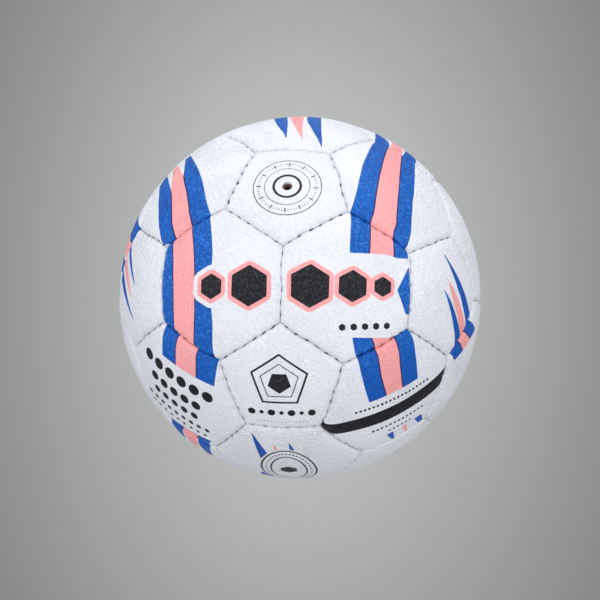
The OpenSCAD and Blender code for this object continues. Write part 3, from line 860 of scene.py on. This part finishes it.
        # the rim of the inflation hole, rolled over and down to the inside
        rim = start[first] + np.arange(sides * first)
        az = np.arctan2(dirs[rim, 1], dirs[rim, 0])
        prev = rim
        n_rim = len(rim)
        nx = (np.arange(n_rim) + 1) % n_rim
        for rho, dep in ((2.10, 0.18), (2.03, 0.30), (2.0, 0.48), (2.0, 0.9), (2.0, 1.2)):
            z = math.sqrt((R - dep) ** 2 - rho ** 2)
            pts = np.c_[rho * np.cos(az), rho * np.sin(az), np.full(n_rim, z)]
            verts.append(pts)
            rest.append(unit(pts))
            deep.append(np.full(n_rim, dep + 0.2))
            cur = count + np.arange(n_rim)
            count += n_rim
            quads.append(np.c_[prev, prev[nx], cur[nx], cur])
            prev = cur
        inner_rim = base + c_start[first_in] + np.arange(sides * first_in)
        az_in = np.arctan2(c_dirs[c_start[first_in]:c_start[first_in] + sides * first_in, 1],
                           c_dirs[c_start[first_in]:c_start[first_in] + sides * first_in, 0])
        # walk both circles from the same azimuth
        fan = []
        start_o = int(np.argmin(np.abs(np.angle(np.exp(1j * (az - az_in[0]))))))
        ia = ib = 0
        no, ni = n_rim, len(inner_rim)
        while ia < no or ib < ni:
            a0, a1 = prev[(start_o + ia) % no], prev[(start_o + ia + 1) % no]
            b0, b1 = inner_rim[ib % ni], inner_rim[(ib + 1) % ni]
            if ib == ni or (ia < no and (ia + 1) / no <= (ib + 0.5) / ni):
                fan.append((a0, a1, b0))
                ia += 1
            else:
                fan.append((a0, b1, b0))
                ib += 1
        tris.append(np.array(fan))

    verts = np.vstack(verts)
    rest = np.vstack(rest)
    deep = np.concatenate(deep)

    # A flat layout of the panel, in a unit square: the outside and its walls are one disc, the inside is a
    # smaller one, and the walls of the punched holes lie in rows beside them.
    az_flat, rad_out, rad_in = np.zeros(count), np.zeros(count), np.zeros(count)
    az_flat[:n_top] = np.arctan2(dirs[:, 1], dirs[:, 0])
    rad_out[:n_top] = R * np.arccos(np.clip(dirs[:, 2], -1, 1))
    ring_az, ring_rad = az_flat[ring], rad_out[ring]
    for loop, lv in zip(outer, levels):
        az_flat[loop], rad_out[loop] = ring_az, ring_rad + lv - 1.5
    for loop, lv in zip(inner, inner_levels):
        az_flat[loop], rad_in[loop] = ring_az, ring_rad - 2.85 + lv
    rad_out[inner[0]] = ring_rad + 4.05
    az_flat[base:base + len(inside)] = np.arctan2(inside[:, 1], inside[:, 0])
    rad_in[base:base + len(inside)] = 73.8 * np.arccos(np.clip(inside[:, 2] / 73.8, -1, 1))
    if valve:
        for k in range(5):
            idx = np.arange(count - (5 - k) * n_rim, count - (4 - k) * n_rim)
            az_flat[idx], rad_out[idx], rad_in[idx] = az, 1.9 - 0.3 * k, 1.0
    about = np.c_[np.cos(az_flat), np.sin(az_flat)]
    flat_out = (0.458, 0.542) + about * (rad_out * 0.452 / rad_out.max())[:, None]
    flat_in = (0.882, 0.118) + about * (rad_in * 0.112 / rad_in.max())[:, None]
    cell = np.arange(len(tube))
    corner = np.array([(0.15, 0.15), (0.85, 0.15), (0.85, 0.85), (0.15, 0.85)])
    flat_tube = ((0.006, 0.006) + (0.744 / 144, 0.024) * (np.stack([cell % 144, cell // 144], 1)[:, None] + corner))
    uv = [flat_out[tris[0]].reshape(-1, 2)] + [flat_in[t].reshape(-1, 2) for t in tris[1:]]
    uv += [flat_out[q].reshape(-1, 2) for q in quads[:7]] + [flat_in[q].reshape(-1, 2) for q in quads[7:12]]
    uv += [flat_tube.reshape(-1, 2)] + [flat_out[q].reshape(-1, 2) for q in quads[13:]]
    uv = np.vstack(uv)
    tris = np.vstack(tris)
    quads = np.vstack(quads)

    me = bpy.data.meshes.new(NODE[name] + "_skin")
    v = (verts @ place.T) / 1000.0
    me.vertices.add(len(v))
    me.vertices.foreach_set("co", v.astype(np.float32).ravel())
    loop_total = len(tris) * 3 + len(quads) * 4
    me.loops.add(loop_total)
    me.loops.foreach_set("vertex_index", np.concatenate([tris.ravel(), quads.ravel()]).astype(np.int32))
    me.polygons.add(len(tris) + len(quads))
    starts = np.concatenate([np.arange(len(tris)) * 3, len(tris) * 3 + np.arange(len(quads)) * 4]).astype(np.int32)
    me.polygons.foreach_set("loop_start", starts)
    me.polygons.foreach_set("use_smooth", np.ones(len(starts), bool))
    me.update(calc_edges=True)
    assert not me.validate(verbose=False), name
    me.uv_layers.new(name="OFBake", do_init=False).data.foreach_set("uv", uv.astype(np.float32).ravel())

    world = rest @ place.T
    inks = printed(name, world)
    jitter = 0.035 * fractal(world * R / 0.9, 2, 77)
    for ink in ("blue", "pink", "black"):
        a = me.attributes.new("print_" + ink, "FLOAT", "POINT")
        a.data.foreach_set("value", (inks[ink] + jitter).astype(np.float32))
    a = me.attributes.new("seam_depth", "FLOAT", "POINT")
    a.data.foreach_set("value", deep.astype(np.float32))
    near = np.full(len(verts), 0.0)
    near[:n_top] = dist.min(0)
    a = me.attributes.new("seam_near", "FLOAT", "POINT")
    a.data.foreach_set("value", near.astype(np.float32))
    tone = np.random.RandomState(seed).uniform(-1, 1)
    a = me.attributes.new("tone", "FLOAT", "POINT")
    a.data.foreach_set("value", np.full(len(verts), tone, np.float32))
    ob = bpy.data.objects.new(NODE[name] + "_skin", me)
    bpy.context.scene.collection.objects.link(ob)
    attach(ob, "ball")
    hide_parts(NODE[name])
    return ob


# --- materials -----------------------------------------------------------------------

class Nodes:
    """A small helper for building a node tree."""

    def __init__(self, name):
        self.mat = bpy.data.materials.new(name)
        self.mat.use_nodes = True
        self.nt = self.mat.node_tree
        self.nt.nodes.clear()
        self.out = self.nt.nodes.new("ShaderNodeOutputMaterial")
        self.bsdf = self.nt.nodes.new("ShaderNodeBsdfPrincipled")
        self.link(self.bsdf.outputs[0], self.out.inputs["Surface"])

    def link(self, a, b):
        self.nt.links.new(a, b)

    def put(self, value, socket):
        if isinstance(value, bpy.types.NodeSocket):
            self.link(value, socket)
        elif hasattr(socket.default_value, "__len__") and not hasattr(value, "__len__"):
            socket.default_value = [value] * len(socket.default_value)
        else:
            socket.default_value = value

    def math(self, op, a, b=0.0, c=0.0, clamp=False):
        n = self.nt.nodes.new("ShaderNodeMath")
        n.operation = op
        n.use_clamp = clamp
        for v, s in zip((a, b, c), n.inputs):
            self.put(v, s)
        return n.outputs[0]

    def attribute(self, name):
        n = self.nt.nodes.new("ShaderNodeAttribute")
        n.attribute_name = name
        return n.outputs["Fac"]

    def coords(self):
        return self.nt.nodes.new("ShaderNodeTexCoord").outputs["Object"]

    def mapping(self, vec, scale=(1, 1, 1), rotation=(0, 0, 0), location=(0, 0, 0), kind="POINT"):
        n = self.nt.nodes.new("ShaderNodeMapping")
        n.vector_type = kind
        self.link(vec, n.inputs["Vector"])
        n.inputs["Scale"].default_value = scale
        n.inputs["Rotation"].default_value = rotation
        n.inputs["Location"].default_value = location
        return n.outputs[0]

    def noise(self, vec, scale, detail=3, roughness=0.5, distortion=0.0, lac=2.0):
        n = self.nt.nodes.new("ShaderNodeTexNoise")
        self.link(vec, n.inputs["Vector"])
        n.inputs["Scale"].default_value = scale
        n.inputs["Detail"].default_value = detail
        n.inputs["Roughness"].default_value = roughness
        n.inputs["Distortion"].default_value = distortion
        n.inputs["Lacunarity"].default_value = lac
        return n.outputs["Fac"]

    def voronoi(self, vec, scale, feature="F1", randomness=1.0):
        n = self.nt.nodes.new("ShaderNodeTexVoronoi")
        n.feature = feature
        self.link(vec, n.inputs["Vector"])
        n.inputs["Scale"].default_value = scale
        n.inputs["Randomness"].default_value = randomness
        return n.outputs["Distance"]

    def remap(self, v, a, b, c=0.0, d=1.0, smooth=False):
        n = self.nt.nodes.new("ShaderNodeMapRange")
        n.interpolation_type = "SMOOTHSTEP" if smooth else "LINEAR"
        self.put(v, n.inputs["Value"])
        for val, key in ((a, "From Min"), (b, "From Max"), (c, "To Min"), (d, "To Max")):
            n.inputs[key].default_value = val
        return n.outputs["Result"]

    def mix(self, fac, a, b, mode="MIX"):
        n = self.nt.nodes.new("ShaderNodeMix")
        n.data_type = "RGBA"
        n.blend_type = mode
        self.put(fac, n.inputs[0])
        for v, s in ((a, n.inputs[6]), (b, n.inputs[7])):
            if isinstance(v, tuple) and len(v) == 3:
                v = v + (1.0,)
            self.put(v, s)
        return n.outputs[2]

    def bump(self, height, strength, distance, normal=None):
        n = self.nt.nodes.new("ShaderNodeBump")
        self.link(height, n.inputs["Height"])
        n.inputs["Strength"].default_value = strength
        n.inputs["Distance"].default_value = distance
        if normal is not None:
            self.link(normal, n.inputs["Normal"])
        return n.outputs[0]

    def warp(self, vec, scale, amount):
        """The coordinates, pushed about by noise."""
        n = self.nt.nodes.new("ShaderNodeTexNoise")
        self.link(vec, n.inputs["Vector"])
        n.inputs["Scale"].default_value = scale
        n.inputs["Detail"].default_value = 2
        s = self.nt.nodes.new("ShaderNodeVectorMath")
        s.operation = "SUBTRACT"
        self.link(n.outputs["Color"], s.inputs[0])
        s.inputs[1].default_value = (0.5, 0.5, 0.5)
        m = self.nt.nodes.new("ShaderNodeVectorMath")
        m.operation = "MULTIPLY_ADD"
        self.link(s.outputs[0], m.inputs[0])
        m.inputs[1].default_value = (amount, amount, amount)
        self.link(vec, m.inputs[2])
        return m.outputs[0]


def srgb(r, g, b):
    f = lambda c: c / 12.92 if c <= 0.04045 else ((c + 0.055) / 1.055) ** 2.4
    return (f(r / 255), f(g / 255), f(b / 255), 1.0)


def skin_material():
    m = Nodes("skin_leather")
    co = m.coords()
    # leather grain: small cells with creased borders, drawn out in changing directions
    lean = m.mapping(m.warp(co, 120.0, 0.004), (1.0, 0.62, 1.0), (0.5, 0.3, 0.9))
    cells = m.voronoi(m.warp(lean, 600.0, 0.0011), 560.0, "DISTANCE_TO_EDGE")
    creases = m.remap(cells, 0.0, 0.20, 0.0, 1.0, True)
    small = m.voronoi(m.warp(co, 900.0, 0.0007), 1150.0, "DISTANCE_TO_EDGE")
    small_creases = m.remap(small, 0.0, 0.22, 0.0, 1.0, True)
    fine = m.noise(co, 2600.0, 3, 0.6)
    broad = m.noise(co, 330.0, 3, 0.6)
    near = m.remap(m.attribute("seam_near"), 0.8, 7.5, 1.0, 0.0, True)
    patchy = m.remap(m.noise(co, 75.0, 2, 0.5), 0.35, 0.65, 0.55, 1.0, True)
    # the grain tightens into wrinkles near the seams
    wrinkle = m.noise(m.warp(co, 350.0, 0.003), 700.0, 2, 0.5, 0.6)
    height = m.math("ADD", m.math("MULTIPLY", creases, 0.7), m.math("MULTIPLY", small_creases, 0.08))
    height = m.math("ADD", height, m.math("MULTIPLY", fine, 0.04))
    height = m.math("MULTIPLY", height, patchy)
    height = m.math("ADD", height, m.math("MULTIPLY", wrinkle, m.math("MULTIPLY_ADD", near, 0.8, 0.6)))
    height = m.math("ADD", height, m.math("MULTIPLY", broad, 0.8))

    # inks: where each one lies, with a soft printed edge
    edge = 0.07
    blue = m.remap(m.attribute("print_blue"), edge, -edge, 0.0, 1.0)
    pink = m.remap(m.attribute("print_pink"), edge, -edge, 0.0, 1.0)
    black = m.remap(m.attribute("print_black"), edge, -edge, 0.0, 1.0)
    mottle = m.remap(m.noise(co, 38.0, 3, 0.55), 0.3, 0.7, 0.0, 1.0)
    speck = m.noise(co, 1100.0, 3, 0.65)

    # ridges of the grain that run in one direction, and a mask over them that paints glints (painted highlights) onto
    # the ink
    drawn_a = m.noise(m.mapping(m.warp(co, 170.0, 0.0017), (2.9, 1.0, 1.25), (0, 0.467, -0.77), kind="TEXTURE"), 1750.0, 1, 0.5, 0.4)
    drawn_b = m.noise(m.mapping(m.warp(co, 150.0, 0.0017), (2.8, 1.0, 1.25), (0, -0.467, 0.77), kind="TEXTURE"), 1650.0, 1, 0.5, 0.4)
    side = m.remap(m.noise(co, 28.0, 1, 0.5), 0.42, 0.58, 0.0, 1.0, True)
    drawn = m.math("ADD", m.math("MULTIPLY", drawn_a, side), m.math("MULTIPLY", drawn_b, m.math("SUBTRACT", 1.0, side)))
    ridge_glint = m.remap(drawn, 0.50, 0.66, 0.0, 0.65, True)
    # painted light: the glints are painted stronger towards the top of the ball, where the overhead light falls
    height_up = m.nt.nodes.new("ShaderNodeSeparateXYZ")
    m.link(co, height_up.inputs[0])
    ridge_glint = m.math("MULTIPLY", ridge_glint, m.remap(height_up.outputs[2], 0.012, 0.050, 0.12, 1.0, True))
    # some stretches of the hide are smoother than others
    grained = m.remap(m.noise(co, 52.0, 2, 0.5), 0.38, 0.62, 1.0, 1.45, True)
    height = m.math("ADD", height, m.math("MULTIPLY", m.remap(drawn, 0.36, 0.66, 0.0, 1.0, True), grained))

    ground = m.mix(mottle, srgb(234, 236, 245), srgb(240, 242, 249))
    ground = m.mix(m.remap(m.attribute("tone"), -1, 1, 0.0, 0.35), ground, srgb(231, 233, 244))
    # the grain's creases are painted a little darker, and so are specks beside the seams
    pits = m.remap(creases, 0.55, 0.0, 0.0, 1.0)
    ground = m.mix(m.math("MULTIPLY", pits, 0.10), ground, srgb(176, 178, 190))
    seam_specks = m.math("MULTIPLY", m.remap(m.attribute("seam_near"), 0.3, 2.6, 1.0, 0.0, True), m.remap(speck, 0.42, 0.62, 0.0, 1.0))
    ground = m.mix(m.math("MULTIPLY", seam_specks, 0.14), ground, srgb(150, 150, 160))
    blue_c = m.mix(mottle, srgb(0, 77, 171), srgb(2, 90, 188))
    # painted glints: the blue, pink and black ink are painted lighter on the grain's ridges
    blue_c = m.mix(ridge_glint, blue_c, srgb(44, 144, 236))
    pink_c = m.mix(mottle, srgb(253, 162, 166), srgb(255, 172, 174))
    pink_c = m.mix(m.math("MULTIPLY", ridge_glint, 0.8), pink_c, srgb(255, 196, 194))
    black_c = m.mix(mottle, srgb(16, 17, 24), srgb(25, 26, 34))
    black_c = m.mix(m.math("MULTIPLY", ridge_glint, 0.5), black_c, srgb(86, 89, 99))
    colour = m.mix(pink, ground, pink_c)
    colour = m.mix(blue, colour, m.mix(pink, blue_c, srgb(38, 34, 104)))
    colour = m.mix(black, colour, black_c)
    # painted highlights: specks of ink near the seams are painted light, as glints on the wrinkles
    inked = m.math("MAXIMUM", blue, m.math("MAXIMUM", pink, black))
    seam_glint = m.math("MULTIPLY", near, m.remap(speck, 0.60, 0.72, 0.0, 0.25))
    colour = m.mix(m.math("MULTIPLY", seam_glint, inked), colour, srgb(215, 222, 240))
    # painted shade and dirt: down in the seam, past where the panels touch, the colour is painted dark
    seam_dirt_and_shade = m.remap(m.attribute("seam_depth"), 1.55, 2.3, 0.0, 1.0, True)
    colour = m.mix(m.math("MULTIPLY", seam_dirt_and_shade, 0.9), colour, srgb(40, 40, 48))
    m.link(colour, m.bsdf.inputs["Base Color"])

    rough = m.math("ADD", m.remap(speck, 0.3, 0.7, 0.34, 0.50), m.math("MULTIPLY", seam_dirt_and_shade, 0.35))
    m.link(rough, m.bsdf.inputs["Roughness"])
    m.bsdf.inputs["Specular IOR Level"].default_value = 0.24
    m.link(m.bump(height, 1.0, 0.00017), m.bsdf.inputs["Normal"])
    return m.mat


def weave(m, co, scale, lift=1.0):
    """The height of a plain weave over a curved cloth, from two crossed sets of waves."""
    sep = m.nt.nodes.new("ShaderNodeSeparateXYZ")
    m.link(m.warp(co, 90.0, 0.0012), sep.inputs[0])
    a = m.math("SINE", m.math("MULTIPLY", m.math("ADD", sep.outputs[0], sep.outputs[2]), scale))
    b = m.math("SINE", m.math("MULTIPLY", m.math("SUBTRACT", sep.outputs[1], m.math("MULTIPLY", sep.outputs[2], 0.6)), scale))
    return m.math("MULTIPLY", m.math("ADD", m.math("ABSOLUTE", a), m.math("ABSOLUTE", b)), 0.5 * lift)


def cloth_material(name, dark, light, scale=5200.0):
    m = Nodes(name)
    co = m.coords()
    h = weave(m, co, scale)
    slub = m.noise(co, 600.0, 3, 0.6)
    colour = m.mix(m.remap(h, 0.2, 0.9), dark, light)
    colour = m.mix(m.remap(slub, 0.35, 0.7, 0.0, 0.35), colour, dark)
    colour = m.mix(m.remap(m.noise(co, 40.0, 3, 0.5), 0.35, 0.7, 0.0, 0.22), colour, srgb(178, 168, 142))
    m.link(colour, m.bsdf.inputs["Base Color"])
    m.link(m.remap(slub, 0.3, 0.7, 0.78, 0.95), m.bsdf.inputs["Roughness"])
    m.bsdf.inputs["Specular IOR Level"].default_value = 0.25
    m.bsdf.inputs["Sheen Weight"].default_value = 0.2
    m.link(m.bump(h, 0.7, 0.0001), m.bsdf.inputs["Normal"])
    return m.mat


def thread_material():
    m = Nodes("thread_waxed")
    co = m.coords()
    ply = m.noise(m.warp(co, 900.0, 0.0006), 5200.0, 2, 0.4, 0.8)
    strand = m.noise(m.mapping(co, (1, 1, 1), (0.7, 0.4, 0.2)), 2300.0, 3, 0.6)
    colour = m.mix(m.remap(ply, 0.35, 0.65), srgb(58, 58, 64), srgb(108, 108, 116))
    colour = m.mix(m.remap(strand, 0.4, 0.7, 0.0, 0.5), colour, srgb(36, 36, 42))
    m.link(colour, m.bsdf.inputs["Base Color"])
    m.link(m.remap(strand, 0.3, 0.7, 0.42, 0.66), m.bsdf.inputs["Roughness"])
    m.link(m.bump(m.math("ADD", ply, strand), 0.6, 0.00008), m.bsdf.inputs["Normal"])
    return m.mat


def rubber_material(name, dark, light, dust, bloom=0.25):
    m = Nodes(name)
    co = m.coords()
    fine = m.noise(co, 1800.0, 4, 0.6)
    broad = m.noise(co, 60.0, 4, 0.6)
    pores = m.remap(m.voronoi(co, 2200.0), 0.0, 0.25, 1.0, 0.0, True)
    colour = m.mix(m.remap(broad, 0.35, 0.68), dark, light)
    colour = m.mix(m.remap(fine, 0.5, 0.72, 0.0, bloom), colour, dust)
    m.link(colour, m.bsdf.inputs["Base Color"])
    m.link(m.remap(broad, 0.3, 0.7, 0.5, 0.72), m.bsdf.inputs["Roughness"])
    m.bsdf.inputs["Specular IOR Level"].default_value = 0.4
    h = m.math("ADD", m.math("MULTIPLY", fine, 0.7), m.math("MULTIPLY", pores, -0.4))
    m.link(m.bump(h, 0.5, 0.00006), m.bsdf.inputs["Normal"])
    return m.mat


def floor_material():
    """A pale matt floor that glows by itself, so that it takes hardly any shadow, with a soft pool of light painted
    into its glow.
    """
    m = Nodes("studio_floor")
    co = m.coords()
    axes = []
    for kx, ky, k0 in ((12.2345, 0.9998, 0.0618), (0.2199, -6.6665, 0.3537), (-0.0951, 0.5413, 1.0566)):
        n = m.nt.nodes.new("ShaderNodeVectorMath")
        n.operation = "DOT_PRODUCT"
        m.link(co, n.inputs[0])
        n.inputs[1].default_value = (kx, ky, 0)
        axes.append(m.math("ADD", n.outputs["Value"], k0))
    axes = [m.math("DIVIDE", axes[0], axes[2]), m.math("DIVIDE", axes[1], axes[2])]
    rho = m.math("SQRT", m.math("ADD", m.math("MULTIPLY", axes[0], axes[0]), m.math("MULTIPLY", axes[1], axes[1])))
    ramp = m.nt.nodes.new("ShaderNodeValToRGB")
    m.link(m.math("DIVIDE", rho, 4.0), ramp.inputs[0])
    stops = [0.0, 0.3, 0.6, 1.0, 1.4, 1.8, 2.0, 4.0]
    el = ramp.color_ramp.elements
    while len(el) < len(stops):
        el.new(0.5)
    for e, r in zip(el, stops):
        r_ = min(max(r, 0.12), 2.0)
        v = 216.0 - 48.3 * r_ + 5.3 * r_ * r_ - 1.39 * r_ ** 3
        e.position = r / 4.0
        e.color = srgb(v - 1.6, v + 0.4, v - 0.4)
    painted_pool = m.mix(m.remap(m.noise(co, 40.0, 3, 0.5), 0.3, 0.7, 0.0, 0.006), ramp.outputs[0], (0.9, 0.9, 0.9))
    m.nt.nodes.remove(m.bsdf)
    # painted light: the floor glows, and the painted pool of light is the colour of that glow
    emit = m.nt.nodes.new("ShaderNodeEmission")
    m.link(painted_pool, emit.inputs["Color"])
    emit.inputs["Strength"].default_value = 0.915
    matt = m.nt.nodes.new("ShaderNodeBsdfDiffuse")
    m.link(m.mix(1.0, painted_pool, (0.07, 0.07, 0.07), "MULTIPLY"), matt.inputs["Color"])
    both = m.nt.nodes.new("ShaderNodeAddShader")
    m.link(emit.outputs[0], both.inputs[0])
    m.link(matt.outputs[0], both.inputs[1])
    m.link(both.outputs[0], m.out.inputs["Surface"])
    return m.mat


# --- build ---------------------------------------------------------------------------

SKIN = skin_material()
for name in PLACE:
    ob = build_panel(name)
    ob.data.materials.append(SKIN)

LINING = cloth_material("lining_cloth", srgb(168, 160, 138), srgb(226, 220, 204))
PATCH = cloth_material("patch_cloth", srgb(150, 142, 122), srgb(205, 198, 180), 4200.0)
THREAD = thread_material()
BLADDER = rubber_material("bladder_latex", srgb(30, 30, 32), srgb(48, 48, 52), srgb(120, 120, 120), 0.3)
HOUSING = rubber_material("housing_rubber", srgb(58, 40, 32), srgb(84, 60, 48), srgb(140, 118, 104), 0.2)
CORE = rubber_material("core_rubber", srgb(66, 42, 34), srgb(96, 64, 52), srgb(170, 140, 124), 0.25)
for node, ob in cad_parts.items():
    mat = None
    if "linings" in node:
        mat = LINING
    elif "threads" in node:
        mat = THREAD
    elif node == "bladder":
        mat = BLADDER
    elif node == "valve_patch":
        mat = PATCH
    elif node == "valve_housing":
        mat = HOUSING
    elif node == "valve_core":
        mat = CORE
    if mat:
        for slot in ob.material_slots:
            slot.material = mat

# --- floor, light, camera --------------------------------------------------------------

me = bpy.data.meshes.new("floor")
s = 6.0
me.from_pydata([(-s, -s, -0.0752), (s, -s, -0.0752), (s, s, -0.0752), (-s, s, -0.0752)], [], [(0, 1, 2, 3)])
floor = bpy.data.objects.new("floor", me)
bpy.context.scene.collection.objects.link(floor)
me.materials.append(floor_material())

world = bpy.data.worlds.new("studio")
bpy.context.scene.world = world
world.use_nodes = True
bg = world.node_tree.nodes["Background"]
bg.inputs["Color"].default_value = (0.99, 0.995, 1.0, 1.0)
bg.inputs["Strength"].default_value = 0.71


def area(name, at, size, power, colour=(1, 1, 1), aim=(0, 0, 0), spread=180):
    data = bpy.data.lights.new(name, "AREA")
    data.shape = "DISK"
    data.size = size
    data.energy = power
    data.color = colour
    data.spread = math.radians(spread)
    ob = bpy.data.objects.new(name, data)
    bpy.context.scene.collection.objects.link(ob)
    at, aim = np.array(at, float), np.array(aim, float)
    back = unit(at - aim)
    side = np.cross((0, 1, 0.01), back)
    side = unit(side)
    up = np.cross(back, side)
    ob.matrix_world = Matrix([[*np.array([side[i], up[i], back[i]]), at[i]] for i in range(3)] + [[0, 0, 0, 1]])
    return ob


area("key_overhead", (0.0, 0.45, 0.95), 0.8, 3.35)
area("fill_front", (0.0, -1.0, 0.15), 1.0, 3.25, (0.97, 0.98, 1.0))
area("fill_left", (-1.0, -0.2, 0.45), 0.9, 3.1)
area("fill_right", (1.0, -0.2, 0.45), 0.9, 3.4)
area("fill_back", (0.0, 1.0, 0.4), 0.9, 3.1)

cam_data = bpy.data.cameras.new("camera")
cam = bpy.data.objects.new("camera", cam_data)
bpy.context.scene.collection.objects.link(cam)
az, el, roll, dist_m = math.radians(9.9645), math.radians(53.872), math.radians(-6.542), 1.0729
back = np.array([math.sin(az) * math.cos(el), -math.cos(az) * math.cos(el), math.sin(el)])
right0 = unit(np.cross((0, 0, 1.0), back))
up0 = np.cross(back, right0)
right = math.cos(roll) * right0 + math.sin(roll) * up0
up = np.cross(back, right)
at = back * dist_m
cam.matrix_world = Matrix([[right[i], up[i], back[i], at[i]] for i in range(3)] + [[0, 0, 0, 1]])
cam_data.sensor_width = 36.0
cam_data.lens = 36.0 * 2581.71 / 600
cam_data.shift_y = -0.00395
cam_data.clip_start = 0.01
bpy.context.scene.camera = cam
bpy.context.scene.view_settings.view_transform = "Standard"
